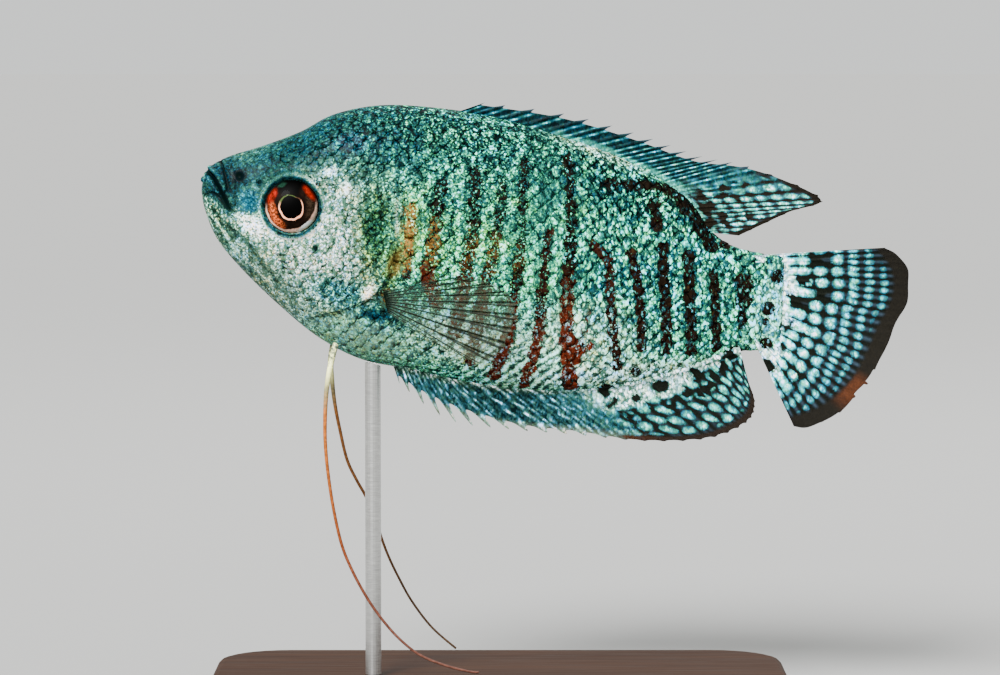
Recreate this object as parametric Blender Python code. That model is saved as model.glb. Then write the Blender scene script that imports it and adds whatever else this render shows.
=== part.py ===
"""Life-size display model of a male dwarf gourami, 80 mm long, on a flat stand with one rod.

The fish swims with its head to -X and its left side to -Y. The origin is the middle of the
underside of the stand's base, and +Z is up. Sizes below are in millimetres.
"""

import math

import bmesh
import bpy
import numpy as np
from mathutils import Vector

MM = 0.001
GAP = 0.3

# The body, station by station from the snout to the root of the tail fin:
# x and z on the back, x and z on the belly, half width, and how high the widest point lies.
STATIONS = (
    (-33.5, 60.9, -33.6, 60.2, 0.5, 0.50),  # tip of the lower jaw
    (-32.9, 61.8, -33.7, 59.0, 1.2, 0.50),  # upper lip
    (-31.8, 62.6, -33.2, 56.7, 1.8, 0.50),  # mouth
    (-29.9, 63.4, -31.9, 53.7, 2.6, 0.50),  # nostrils
    (-26.9, 64.3, -29.2, 50.4, 3.5, 0.52),  # front of the eye
    (-22.6, 65.9, -25.1, 46.4, 4.5, 0.54),  # back of the eye
    (-18.7, 67.9, -20.6, 42.7, 5.2, 0.55),  # roots of the feelers
    (-13.6, 68.9, -15.8, 40.2, 5.6, 0.57),  # edge of the gill cover
    (-7.9, 68.7, -10.2, 39.0, 5.7, 0.57),  # front of the anal fin
    (-1.1, 67.7, -3.4, 37.4, 5.4, 0.57),
    (5.7, 65.8, 4.5, 36.5, 4.8, 0.56),
    (12.4, 63.5, 11.3, 36.8, 4.0, 0.55),
    (17.5, 61.0, 17.0, 37.8, 3.2, 0.54),
    (21.5, 58.2, 21.7, 39.1, 2.5, 0.53),
    (24.0, 54.6, 25.1, 40.4, 1.9, 0.52),  # end of the dorsal fin
    (26.6, 52.9, 27.4, 41.1, 1.5, 0.50),  # tail stalk
    (29.8, 52.1, 29.4, 41.2, 1.1, 0.50),  # root of the tail fin
)
RINGS_PER_STATION = 3
RING_POINTS = 32
BACK_FULLNESS = 0.86
BELLY_FULLNESS = 1.0

# Lines seen from the side, where one piece of the body ends and the next begins.
MOUTH_LINE = ((-34.4, 63.0), (-33.0, 61.9), (-32.4, 60.5), (-31.5, 58.7), (-30.2, 57.0))
JAW_LINE = ((-30.2, 57.0), (-28.9, 53.9), (-27.2, 50.9), (-26.6, 48.4), (-26.8, 45.0))
GILL_LINE = (
    (-18.4, 72.0), (-17.5, 67.5), (-15.9, 63.6), (-13.4, 60.4), (-11.7, 57.0), (-11.3, 53.6),
    (-12.2, 50.2), (-14.3, 47.5), (-17.2, 45.9), (-20.2, 44.9), (-22.6, 43.2), (-24.6, 40.0),
)
STALK_LINE = ((22.6, 62.0), (23.4, 56.0), (23.0, 48.0), (23.6, 41.5), (22.6, 36.0))
COVER_OUTLINE = (
    (-16.9, 62.6), (-14.6, 60.3), (-12.7, 57.0), (-12.2, 53.6), (-13.2, 50.5), (-15.2, 48.2),
    (-18.2, 46.9), (-21.2, 46.6), (-20.3, 48.6), (-18.9, 51.4), (-18.2, 55.4), (-18.3, 59.6),
)
COVER_THICKNESS = 0.9
COVER_RISE = 0.2

EYE_CENTRE = (-23.3, 57.6)
EYE_RADIUS = 3.0
EYE_HALF_THICKNESS = 1.9
EYE_BULGE = 0.75
EYE_RIM_RADIUS = 0.42
LIP_RADIUS = 0.45
# Each lip: x and z of its front, then x, y and z of its corner.
UPPER_LIP = ((-32.6, 61.5), (-29.9, 1.95, 57.6))
LOWER_LIP = ((-33.3, 60.6), (-30.8, 1.75, 56.7))
# x, z and radius of the front and the back nostril.
NOSTRILS = ((-28.9, 61.2, 0.45), (-27.1, 60.4, 0.38))

# Fins: matched points on the root and at the tips, from the first ray to the last.
DORSAL_ROOT = ((-4.3, 68.3), (3.4, 66.4), (10.7, 64.0), (15.8, 61.8), (19.5, 59.7), (21.9, 57.7),
               (23.2, 55.9), (24.1, 54.5))
DORSAL_TIPS = ((-1.7, 69.2), (8.1, 67.8), (16.4, 65.4), (22.6, 63.2), (28.4, 61.9), (36.4, 58.4),
               (32.6, 56.8), (27.0, 54.2))
ANAL_ROOT = ((-12.0, 39.3), (-8.7, 38.7), (-4.5, 37.6), (2.3, 36.7), (9.1, 36.7), (15.8, 37.6),
             (21.5, 39.1), (24.9, 40.3), (27.2, 41.1))
ANAL_TIPS = ((-11.4, 37.4), (-6.8, 33.5), (-1.5, 32.4), (5.4, 31.9), (12.7, 31.2), (20.4, 30.8),
             (26.3, 32.0), (28.9, 34.4), (28.2, 37.4))
CAUDAL_ROOT = ((29.6, 52.0), (29.9, 50.4), (29.9, 48.6), (29.8, 46.9), (29.7, 45.2), (29.5, 43.7),
               (29.4, 42.4), (29.2, 41.3))
CAUDAL_TIPS = ((44.9, 52.7), (46.2, 49.7), (46.1, 46.7), (44.5, 43.2), (42.7, 39.2), (40.6, 36.2),
               (37.3, 33.4), (33.6, 31.9))
PECTORAL_ROOT = ((-12.9, 48.3), (-12.8, 47.8), (-12.7, 47.3), (-12.6, 46.8), (-12.5, 46.2),
                 (-12.4, 45.7))
PECTORAL_TIPS = ((-6.2, 50.0), (-1.4, 49.6), (1.9, 47.2), (1.4, 43.6), (-1.6, 40.2), (-7.9, 42.9))
PECTORAL_LIFT = 2.3
PECTORAL_LOBE = 0.25
DORSAL_RAYS = 24
ANAL_RAYS = 31
CAUDAL_RAYS = 17
PECTORAL_RAYS = 10
# How far the membrane between two spines reaches, as a share of the spine.
SPINY_MEMBRANE = 0.74
SOFT_MEMBRANE = 0.96
ROOT_SINK = 1.3
MEMBRANE_HALF = 0.25
RAY_HALF = 0.42
RAY_FOOT = 0.2

# Feelers: x, y and z down each one, from the belly to the tip.
FEELER_LEFT = (
    (-18.2, -0.9, 43.2), (-18.9, -1.4, 40.6), (-19.5, -1.9, 37.3), (-19.7, -2.2, 34.4),
    (-19.7, -2.5, 31.1), (-19.4, -2.8, 27.7), (-18.8, -3.1, 23.7), (-17.9, -3.4, 19.7),
    (-16.8, -3.7, 16.9), (-15.2, -4.0, 13.9), (-13.5, -4.2, 11.4), (-11.4, -4.4, 9.0),
    (-9.0, -4.5, 7.1), (-6.1, -4.5, 5.9), (-3.4, -4.4, 5.2), (-2.4, -4.3, 5.1),
)
FEELER_RIGHT = (
    (-18.6, 0.9, 43.2), (-19.2, 1.4, 40.2), (-19.1, 2.0, 37.6), (-18.8, 2.6, 34.8),
    (-18.3, 3.2, 32.0), (-17.5, 3.9, 28.4), (-16.4, 4.6, 25.9), (-15.5, 5.2, 24.2),
    (-14.5, 5.9, 21.9), (-13.6, 6.6, 18.9), (-12.8, 7.1, 16.7), (-11.7, 7.6, 14.3),
    (-10.2, 8.1, 11.5), (-7.9, 8.5, 8.4), (-5.1, 8.7, 5.9),
)
FEELER_LENGTHS = 3
FEELER_ROOT_RADIUS = 0.40
FEELER_TIP_RADIUS = 0.25
POINTS_PER_LENGTH = 14

BASE_LENGTH = 66.0
BASE_DEPTH = 42.0
BASE_HEIGHT = 4.0
BASE_CORNER = 8.0
BASE_EDGE = 0.8
ROD_X = -14.4
ROD_RADIUS = 0.9
ROD_TOP = 42.5

COLOURS = {
    "skin": ((0.20, 0.50, 0.46), 0.35, 0.2),
    "fin": ((0.22, 0.40, 0.38), 0.40, 0.1),
    "eye": ((0.45, 0.10, 0.03), 0.08, 0.0),
    "feeler": ((0.62, 0.36, 0.12), 0.40, 0.0),
    "clear_fin": ((0.45, 0.55, 0.48), 0.30, 0.0),
    "wood": ((0.16, 0.08, 0.04), 0.35, 0.0),
    "steel": ((0.62, 0.62, 0.60), 0.25, 1.0),
}


def smooth(points, share):
    """The point at a share, from 0 to 1, of a smooth curve through the points."""
    points = np.asarray(points, float)
    last = len(points) - 1
    place = min(max(share, 0.0), 1.0) * last
    i = min(int(place), last - 1)
    t = place - i
    before, start, end, after = (points[min(max(j, 0), last)] for j in range(i - 1, i + 3))
    return 0.5 * (
        2 * start + (end - before) * t + (2 * before - 5 * start + 4 * end - after) * t**2
        + (3 * start - before - 3 * end + after) * t**3
    )


def smooth_line(points, count):
    """Evenly spread samples of the smooth curve through the points."""
    return [smooth(points, i / (count - 1)) for i in range(count)]


def finish_colour(name):
    """The material of that name, made once."""
    made = bpy.data.materials.get(name)
    if made is None:
        colour, roughness, metallic = COLOURS[name]
        made = bpy.data.materials.new(name)
        made.use_nodes = True
        shader = made.node_tree.nodes["Principled BSDF"]
        shader.inputs["Base Color"].default_value = (*colour, 1.0)
        shader.inputs["Roughness"].default_value = roughness
        shader.inputs["Metallic"].default_value = metallic
    return made


def new_object(name, mesh):
    """An object of the mesh, in the fish's collection."""
    obj = bpy.data.objects.new(name, mesh)
    bpy.data.collections["dwarf_gourami"].objects.link(obj)
    return obj


def mesh_object(name, points, faces):
    """An object of these points, in millimetres, and faces."""
    mesh = bpy.data.meshes.new(name)
    mesh.from_pydata([Vector(p) * MM for p in points], [], faces)
    mesh.validate()
    return new_object(name, mesh)


def adopt(obj):
    """Moves an object that an operator made into the fish's collection."""
    for collection in obj.users_collection:
        collection.objects.unlink(obj)
    bpy.data.collections["dwarf_gourami"].objects.link(obj)
    return obj


def discard(obj):
    """Removes a helper."""
    bpy.data.objects.remove(obj, do_unlink=True)


def bake_modifiers(obj):
    """Makes the object's mesh what its modifiers show, with the modifiers gone."""
    bpy.context.view_layer.update()
    shown = obj.evaluated_get(bpy.context.evaluated_depsgraph_get())
    mesh = bpy.data.meshes.new_from_object(shown)
    obj.modifiers.clear()
    obj.data = mesh
    return obj


def mesh_of_curve(obj):
    """A mesh object in place of a curve object, its caps welded to its sides."""
    bpy.context.view_layer.update()
    shown = obj.evaluated_get(bpy.context.evaluated_depsgraph_get())
    mesh = bpy.data.meshes.new_from_object(shown)
    bm = bmesh.new()
    bm.from_mesh(mesh)
    bmesh.ops.remove_doubles(bm, verts=bm.verts, dist=1e-6)
    bmesh.ops.triangulate(bm, faces=bm.faces)
    bmesh.ops.recalc_face_normals(bm, faces=bm.faces)
    bm.to_mesh(mesh)
    bm.free()
    made = new_object(obj.name + "_mesh", mesh)
    made.matrix_world = obj.matrix_world.copy()
    discard(obj)
    return made


def combine(target, others, operation):
    """Cuts the others from the target, or joins them to it, and removes them."""
    tools = bpy.data.collections.new("tools")
    for other in others:
        tools.objects.link(other)
    modifier = target.modifiers.new("combine", "BOOLEAN")
    modifier.operation = operation
    modifier.operand_type = "COLLECTION"
    modifier.collection = tools
    modifier.solver = "EXACT"
    bpy.context.scene.collection.children.link(tools)
    bake_modifiers(target)
    for other in others:
        discard(other)
    bpy.data.collections.remove(tools)
    return target


def loose_pieces(obj):
    """Lists of the mesh's connected vertices, the largest first."""
    mesh = obj.data
    group = list(range(len(mesh.vertices)))

    def root(i):
        while group[i] != i:
            group[i] = group[group[i]]
            i = group[i]
        return i

    for edge in mesh.edges:
        a, b = (root(v) for v in edge.vertices)
        group[a] = b
    pieces = {}
    for i in range(len(group)):
        pieces.setdefault(root(i), []).append(i)
    return sorted(pieces.values(), key=len, reverse=True)


def keep_vertices(obj, keep):
    """Drops all but these vertices."""
    keep = set(keep)
    bm = bmesh.new()
    bm.from_mesh(obj.data)
    bmesh.ops.delete(bm, geom=[v for v in bm.verts if v.index not in keep], context="VERTS")
    bm.to_mesh(obj.data)
    bm.free()
    return obj


def keep_largest(obj):
    """Keeps the largest closed surface of the object."""
    return keep_vertices(obj, loose_pieces(obj)[0])


def dress(obj, name, colour):
    """Gives a finished piece its name, material and smooth shading."""
    obj.name = name
    obj.data.name = name
    obj.data.materials.clear()
    obj.data.materials.append(finish_colour(colour))
    obj.data.shade_smooth()
    obj.data.set_sharp_from_angle(angle=math.radians(40))
    return obj


def section_width(height, half_width, widest):
    """Half the body's width at a height from 0 on the belly to 1 on the back."""
    if height > widest:
        away, power = (height - widest) / (1 - widest), BACK_FULLNESS
    else:
        away, power = (widest - height) / widest, BELLY_FULLNESS
    return half_width * max(0.0, 1 - min(away, 1.0) ** 2) ** (power / 2)


def body_ring(share):
    """One ring of points round the body, at a share of the way from snout to tail."""
    back_x, back_z, belly_x, belly_z, half_width, widest = smooth(STATIONS, share)
    ring = []
    for i in range(RING_POINTS):
        turn = 2 * math.pi * i / RING_POINTS - math.pi / 2
        reach = 1 - widest if math.sin(turn) > 0 else widest
        height = widest + reach * math.sin(turn)
        width = section_width(height, half_width, widest)
        side = 0.0 if i % (RING_POINTS // 2) == 0 else math.copysign(1.0, -math.cos(turn))
        ring.append((
            belly_x + (back_x - belly_x) * height,
            side * width,
            belly_z + (back_z - belly_z) * height,
        ))
    return ring


def surface_y(x, z):
    """Half the body's width at a point seen from the side, or 0 outside its outline."""
    low, high = 0.0, 1.0
    for _ in range(40):
        middle = (low + high) / 2
        back_x, back_z, belly_x, belly_z = smooth(STATIONS, middle)[:4]
        ahead = (back_x - belly_x) * (z - belly_z) - (back_z - belly_z) * (x - belly_x)
        low, high = (low, middle) if ahead > 0 else (middle, high)
    back_x, back_z, belly_x, belly_z, half_width, widest = smooth(STATIONS, low)
    height = (z - belly_z) / (back_z - belly_z)
    return section_width(height, half_width, widest) if 0 <= height <= 1 else 0.0


def body_solid(name, grow=0.0):
    """The whole body without fins, swollen by grow along its normals."""
    rings = (len(STATIONS) - 1) * RINGS_PER_STATION + 1
    points = []
    for i in range(rings):
        points += body_ring(i / (rings - 1))
    faces = []
    for i in range(rings - 1):
        for j in range(RING_POINTS):
            a, b = i * RING_POINTS + j, i * RING_POINTS + (j + 1) % RING_POINTS
            faces.append((a, b, b + RING_POINTS, a + RING_POINTS))
    last = (rings - 1) * RING_POINTS
    faces.append(tuple(range(RING_POINTS))[::-1])
    faces.append(tuple(range(last, last + RING_POINTS)))
    obj = mesh_object(name, points, faces)
    bm = bmesh.new()
    bm.from_mesh(obj.data)
    bmesh.ops.triangulate(bm, faces=bm.faces)
    bmesh.ops.recalc_face_normals(bm, faces=bm.faces)
    bm.normal_update()
    for vertex, normal in [(v, v.normal.copy()) for v in bm.verts]:
        vertex.co += normal * grow * MM
    bm.to_mesh(obj.data)
    bm.free()
    return obj


def outline_solid(name, outline, depth=20.0, middle=0.0):
    """A flat outline, seen from the side, drawn out through the fish to half depth each way."""
    curve = bpy.data.curves.new(name, "CURVE")
    curve.dimensions = "2D"
    curve.fill_mode = "BOTH"
    curve.extrude = depth * MM
    spline = curve.splines.new("POLY")
    spline.points.add(len(outline) - 1)
    for point, (x, z) in zip(spline.points, outline):
        point.co = (x * MM, z * MM, 0.0, 1.0)
    spline.use_cyclic_u = True
    obj = new_object(name, curve)
    obj.rotation_euler = (math.pi / 2, 0.0, 0.0)
    obj.location.y = middle * MM
    return mesh_of_curve(obj)


def offset_line(line, amount):
    """The line moved sideways by amount, to its left."""
    line = np.asarray(line, float)
    along = np.gradient(line, axis=0)
    along /= np.linalg.norm(along, axis=1)[:, None]
    return line + amount * np.stack([-along[:, 1], along[:, 0]], axis=1)


def cut_ribbon(name, line, count=18):
    """A thin wall along a line seen from the side, which parts the body by the gap."""
    line = smooth_line(line, count)
    left, right = offset_line(line, GAP / 2), offset_line(line, -GAP / 2)
    return outline_solid(name, [*left, *right[::-1]])


def grown_outline(outline, amount, count=30):
    """A smooth closed outline through the points, moved outwards by amount."""
    closed = [*outline[-2:], *outline, *outline[:3]]
    inner = len(closed) - 1
    first, last = 2 / inner, (len(outline) + 2) / inner
    line = np.array([smooth(closed, first + (last - first) * i / count) for i in range(count)])
    along = np.roll(line, -1, axis=0) - np.roll(line, 1, axis=0)
    along /= np.linalg.norm(along, axis=1)[:, None]
    return line + amount * np.stack([-along[:, 1], along[:, 0]], axis=1)


def ball(name, centre, radii, segments=20, rings=12):
    """An ellipsoid with its poles on the Y axis, at a place in millimetres."""
    mesh = bpy.data.meshes.new(name)
    bm = bmesh.new()
    bmesh.ops.create_uvsphere(bm, u_segments=segments, v_segments=rings, radius=1.0)
    for vertex in bm.verts:
        x, y, z = vertex.co
        vertex.co = Vector((x * radii[0], -z * radii[1], y * radii[2])) * MM
        vertex.co += Vector(centre) * MM
    bm.to_mesh(mesh)
    bm.free()
    return new_object(name, mesh)


def tube(name, path, radii, bevel_resolution=2):
    """A round bar along the path, as a mesh, with one radius for each point of the path."""
    curve = bpy.data.curves.new(name, "CURVE")
    curve.dimensions = "3D"
    curve.bevel_depth = MM
    curve.bevel_resolution = bevel_resolution
    curve.use_fill_caps = True
    spline = curve.splines.new("POLY")
    spline.points.add(len(path) - 1)
    for point, place, radius in zip(spline.points, path, radii):
        point.co = (*(Vector(place) * MM), 1.0)
        point.radius = radius
    return mesh_of_curve(new_object(name, curve))


def eye_place(side):
    """Centre of the eyeball on one side, -1 for the left and 1 for the right."""
    x, z = EYE_CENTRE
    return (x, side * (surface_y(x, z) + EYE_BULGE - EYE_HALF_THICKNESS), z)


def eye(name, side):
    """An eyeball, flattened as a fish's is."""
    made = ball(name, eye_place(side), (EYE_RADIUS, EYE_HALF_THICKNESS, EYE_RADIUS))
    return dress(made, name, "eye")


def eye_socket(side):
    """The cutter for an eyeball's hollow."""
    radii = (EYE_RADIUS + GAP, EYE_HALF_THICKNESS + GAP, EYE_RADIUS + GAP)
    return ball("socket", eye_place(side), radii, 20, 9)


def eye_rim(side, count=20):
    """The raised ring of skin round the eye."""
    around = EYE_RADIUS + GAP + EYE_RIM_RADIUS * 0.8
    path = []
    for i in range(count + 1):
        turn = 2 * math.pi * i / count
        x = EYE_CENTRE[0] + around * math.cos(turn)
        z = EYE_CENTRE[1] + around * math.sin(turn)
        path.append((x, side * (surface_y(x, z) - EYE_RIM_RADIUS * 0.35), z))
    ring = bpy.data.curves.new("rim", "CURVE")
    ring.dimensions = "3D"
    ring.bevel_depth = EYE_RIM_RADIUS * MM
    ring.bevel_resolution = 1
    spline = ring.splines.new("POLY")
    spline.points.add(count - 1)
    for point, place in zip(spline.points, path):
        point.co = (*(Vector(place) * MM), 1.0)
    spline.use_cyclic_u = True
    return mesh_of_curve(new_object("rim", ring))


def lip(name, front, corner, count=13):
    """A lip, from one corner of the mouth round its front to the other corner."""
    path, radii = [], []
    for i in range(count):
        turn = math.pi * (i / (count - 1) - 0.5)
        forward = math.cos(turn)
        x = corner[0] + (front[0] - corner[0]) * forward
        z = corner[2] + (front[1] - corner[2]) * forward
        path.append((x, corner[1] * math.sin(turn), z))
        radii.append(LIP_RADIUS * (0.6 + 0.4 * forward))
    return tube(name, path, radii, bevel_resolution=1)


def nostril(x, z, radius, side):
    """The cutter for one nostril."""
    return ball("nostril", (x, side * surface_y(x, z), z), (radius, 0.6, radius), 10, 6)


def gill_cover(name, side):
    """A gill cover, a thin plate that stands a little proud of the cheek."""
    plate = body_solid(name, COVER_RISE)
    window = outline_solid("window", grown_outline(COVER_OUTLINE, 0.0), 6.0, side * 6.5)
    combine(plate, [window], "INTERSECT")
    combine(plate, [body_solid("core", -COVER_THICKNESS)], "DIFFERENCE")
    return dress(keep_largest(plate), name, "skin")


def cover_recess(side):
    """The cutter for the hollow that a gill cover lies in."""
    recess = outline_solid("recess", grown_outline(COVER_OUTLINE, GAP), 6.0, side * 6.5)
    return combine(recess, [body_solid("core", -COVER_THICKNESS - GAP)], "DIFFERENCE")


def build_body():
    """The head, lower jaw, trunk and tail stalk, parted from one whole body by thin cuts."""
    whole = body_solid("whole")
    cutters = [
        cut_ribbon("mouth_cut", [*MOUTH_LINE, *JAW_LINE[1:]], 26),
        cut_ribbon("gill_cut", GILL_LINE, 26),
        cut_ribbon("stalk_cut", STALK_LINE, 12),
    ]
    combine(whole, cutters, "DIFFERENCE")
    middle = {"lower_jaw": -31.0, "head": -24.0, "trunk": 2.0, "tail_stalk": 26.5}
    for piece in loose_pieces(whole)[: len(middle)]:
        centre = sum(whole.data.vertices[i].co.x for i in piece) / len(piece) / MM
        name = min(middle, key=lambda n: abs(middle[n] - centre))
        part = new_object(name + "_raw", whole.data.copy())
        keep_vertices(part, piece)
    discard(whole)
    head = bpy.data.objects["head_raw"]
    combine(head, [lip("upper_lip", *UPPER_LIP), eye_rim(-1), eye_rim(1)], "UNION")
    hollows = [eye_socket(side) for side in (-1, 1)]
    hollows += [cover_recess(side) for side in (-1, 1)]
    hollows += [nostril(*place, side) for place in NOSTRILS for side in (-1, 1)]
    combine(head, hollows, "DIFFERENCE")
    jaw = bpy.data.objects["lower_jaw_raw"]
    combine(jaw, [lip("lower_lip", *LOWER_LIP)], "UNION")
    combine(head, [cut_ribbon("mouth_cut", [*MOUTH_LINE, *JAW_LINE[1:]], 26)], "DIFFERENCE")
    combine(jaw, [cut_ribbon("mouth_cut", [*MOUTH_LINE, *JAW_LINE[1:]], 26)], "DIFFERENCE")
    for name in middle:
        dress(keep_largest(bpy.data.objects[name + "_raw"]), name, "skin")


def body_outline(count=160):
    """The body's outline from the side, as a closed ring of points."""
    stations = np.array(smooth_line(STATIONS, count))
    return np.concatenate([stations[:, :2], stations[::-1, 2:4]])


def clearance(point, outline):
    """How far a point seen from the side lies outside the outline, negative inside it."""
    step = np.roll(outline, -1, axis=0) - outline
    share = ((point - outline) * step).sum(axis=1) / np.maximum((step**2).sum(axis=1), 1e-12)
    nearest = outline + np.clip(share, 0, 1)[:, None] * step
    away = np.linalg.norm(point - nearest, axis=1)
    i = int(away.argmin())
    side = step[i, 0] * (point - nearest[i])[1] - step[i, 1] * (point - nearest[i])[0]
    return math.copysign(away[i], side)


def root_point(start, end, outline):
    """Where a ray that comes in from its tip is the gap away from the body."""
    inward = (start - end) / np.linalg.norm(end - start)
    near, far = start + inward * ROOT_SINK, end
    for _ in range(30):
        middle = (near + far) / 2
        if clearance(middle, outline) > GAP:
            far = middle
        else:
            near = middle
    return far


def ray_columns(rays):
    """Places across a fin, in rays: each ray's crest, and its foot on either side."""
    columns = [(0, True)]
    for i in range(1, rays):
        columns += [(i - 1 + RAY_FOOT, False), (i - RAY_FOOT, False), (i, True)]
    return columns


def fin_solid(name, root, tips, rays, rows, membrane, sway, outline=None, lobe=0.0):
    """A fin with raised rays. membrane(share) is how far the web reaches, sway(across, along)
    how far the fin leans to +Y there, and lobe how much thicker its root is. With an outline
    the rays start the gap away from it. Both faces are split into triangles alike."""
    columns = ray_columns(rays)
    front, back = [], []
    for place, on_ray in columns:
        across = place / (rays - 1)
        start, end = smooth(root, across), smooth(tips, across)
        if outline is not None:
            start = root_point(start, end, outline)
        reach = 1.0 if on_ray else membrane(across)
        for row in range(rows + 1):
            along = row / rows
            x, z = start + (end - start) * along * reach
            half = MEMBRANE_HALF * (1 - 0.3 * along**4)
            if on_ray:
                half = RAY_HALF + (MEMBRANE_HALF - RAY_HALF) * along**2
            half += lobe * (1 - along) ** 6
            middle = sway(across, along)
            front.append((x, middle - half, z))
            back.append((x, middle + half, z))
    width, height = len(columns), rows + 1
    faces = []
    for i in range(width - 1):
        for j in range(height - 1):
            a, b, c, d = (i * height + j, (i + 1) * height + j,
                          (i + 1) * height + j + 1, i * height + j + 1)
            for face in ((a, b, c), (a, c, d)):
                faces.append(face)
                faces.append(tuple(v + width * height for v in face[::-1]))
    rim = [i * height for i in range(width)]
    rim += [(width - 1) * height + j for j in range(1, height)]
    rim += [i * height + rows for i in range(width - 2, -1, -1)]
    rim += [j for j in range(rows - 1, 0, -1)]
    for a, b in zip(rim, rim[1:] + rim[:1]):
        far_a, far_b = a + width * height, b + width * height
        faces += [(a, far_a, far_b), (a, far_b, b)]
    made = mesh_object(name, front + back, faces)
    bm = bmesh.new()
    bm.from_mesh(made.data)
    bmesh.ops.recalc_face_normals(bm, faces=bm.faces)
    bm.to_mesh(made.data)
    bm.free()
    return made


def trim_to_body(obj):
    """Cuts a piece clear of the body by the gap, so that it meets the skin face to face."""
    combine(obj, [body_solid("skin_tool", GAP)], "DIFFERENCE")
    return keep_largest(obj)


def fade(low, high, share):
    """A smooth step from 0 below low to 1 above high."""
    t = min(max((share - low) / (high - low), 0.0), 1.0)
    return t * t * (3 - 2 * t)


def dorsal_membrane(across):
    """The dorsal web is notched between the spines, and whole between the soft rays."""
    return SPINY_MEMBRANE + (SOFT_MEMBRANE - SPINY_MEMBRANE) * fade(0.55, 0.75, across)


def anal_membrane(across):
    """The anal web is notched between the spines, and whole between the soft rays."""
    return SPINY_MEMBRANE + (SOFT_MEMBRANE - SPINY_MEMBRANE) * fade(0.3, 0.55, across)


def whole_membrane(across):
    """A web that reaches nearly to the tips of its rays."""
    return SOFT_MEMBRANE


def no_sway(across, along):
    """A fin that stands straight in the fish's middle plane."""
    return 0.0


def tail_sway(across, along):
    """The slow wave of the tail fin."""
    return 0.9 * along**1.5 * math.sin(2.2 * math.pi * across - 0.6)


def build_middle_fins():
    """The dorsal, anal and tail fins."""
    outline = body_outline()
    fins = {
        "dorsal_fin": (DORSAL_ROOT, DORSAL_TIPS, DORSAL_RAYS, 4, dorsal_membrane, no_sway),
        "anal_fin": (ANAL_ROOT, ANAL_TIPS, ANAL_RAYS, 3, anal_membrane, no_sway),
        "tail_fin": (CAUDAL_ROOT, CAUDAL_TIPS, CAUDAL_RAYS, 5, whole_membrane, tail_sway),
    }
    for name, shape in fins.items():
        dress(fin_solid(name + "_raw", *shape, outline=outline), name, "fin")


def build_pectoral_fin(name, side):
    """A breast fin, which lies back along the flank and stands off it towards its tip."""
    rest = GAP + RAY_HALF + PECTORAL_LOBE + 0.05

    def lift(across, along):
        root_y = surface_y(*smooth(PECTORAL_ROOT, across)) + rest
        return side * (root_y + PECTORAL_LIFT * along + 0.5 * along * math.sin(math.pi * across))

    fin = fin_solid(
        name + "_raw", PECTORAL_ROOT, PECTORAL_TIPS, PECTORAL_RAYS, 4, whole_membrane, lift,
        lobe=PECTORAL_LOBE,
    )
    dress(fin, name, "clear_fin")


def build_feeler(name, path):
    """A feeler, the single long ray of a belly fin, in a few lengths."""
    for length in range(FEELER_LENGTHS):
        margin = 0.0 if length == 0 else 0.004
        low, high = length / FEELER_LENGTHS + margin, (length + 1) / FEELER_LENGTHS
        high -= 0.0 if length == FEELER_LENGTHS - 1 else 0.004
        shares = [low + (high - low) * i / (POINTS_PER_LENGTH - 1)
                  for i in range(POINTS_PER_LENGTH)]
        radii = [FEELER_ROOT_RADIUS + (FEELER_TIP_RADIUS - FEELER_ROOT_RADIUS) * s ** 0.5
                 for s in shares]
        made = tube(f"{name}_{length + 1}_raw", [smooth(path, s) for s in shares], radii, 1)
        if length == 0:
            trim_to_body(made)
        dress(made, f"{name}_{length + 1}", "feeler")


def build_stand():
    """The base plate, and the rod that carries the fish by its belly."""
    bpy.ops.mesh.primitive_cube_add(size=1.0, location=(0.0, 0.0, BASE_HEIGHT * MM / 2))
    base = adopt(bpy.context.active_object)
    base.data.transform(
        ((BASE_LENGTH * MM, 0, 0, 0), (0, BASE_DEPTH * MM, 0, 0), (0, 0, BASE_HEIGHT * MM, 0),
         (0, 0, 0, 1))
    )
    bm = bmesh.new()
    bm.from_mesh(base.data)
    upright = [e for e in bm.edges if abs(e.verts[0].co.z - e.verts[1].co.z) > MM]
    bmesh.ops.bevel(bm, geom=upright, offset=BASE_CORNER * MM, segments=8, profile=0.5,
                    affect="EDGES")
    top = [e for e in bm.edges if min(v.co.z for v in e.verts) > 0.4 * BASE_HEIGHT * MM
           and e.calc_face_angle(0.0) > 1.0]
    bmesh.ops.bevel(bm, geom=top, offset=BASE_EDGE * MM, segments=3, profile=0.5, affect="EDGES")
    bm.to_mesh(base.data)
    bm.free()
    dress(base, "stand_base", "wood")
    foot = BASE_HEIGHT + GAP
    bpy.ops.mesh.primitive_cylinder_add(
        vertices=20, radius=ROD_RADIUS * MM, depth=(ROD_TOP - foot) * MM,
        location=(ROD_X * MM, 0.0, (ROD_TOP + foot) * MM / 2),
    )
    rod = adopt(bpy.context.active_object)
    dress(trim_to_body(rod), "stand_rod", "steel")


def main():
    for obj in list(bpy.data.objects):
        bpy.data.objects.remove(obj, do_unlink=True)
    bpy.context.scene.collection.children.link(bpy.data.collections.new("dwarf_gourami"))
    build_body()
    for name, side in (("left", -1), ("right", 1)):
        eye("eye_" + name, side)
        gill_cover("gill_cover_" + name, side)
        build_pectoral_fin("breast_fin_" + name, side)
    build_middle_fins()
    build_feeler("feeler_left", FEELER_LEFT)
    build_feeler("feeler_right", FEELER_RIGHT)
    build_stand()


main()
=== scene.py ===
"""The finished look of a life-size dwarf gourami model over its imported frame.

The fish swims with its head to -X and its left side to -Y, on a stand with one rod. Lengths in
the tables below are in millimetres, and every mesh is in metres.
"""

import functools
import math

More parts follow.
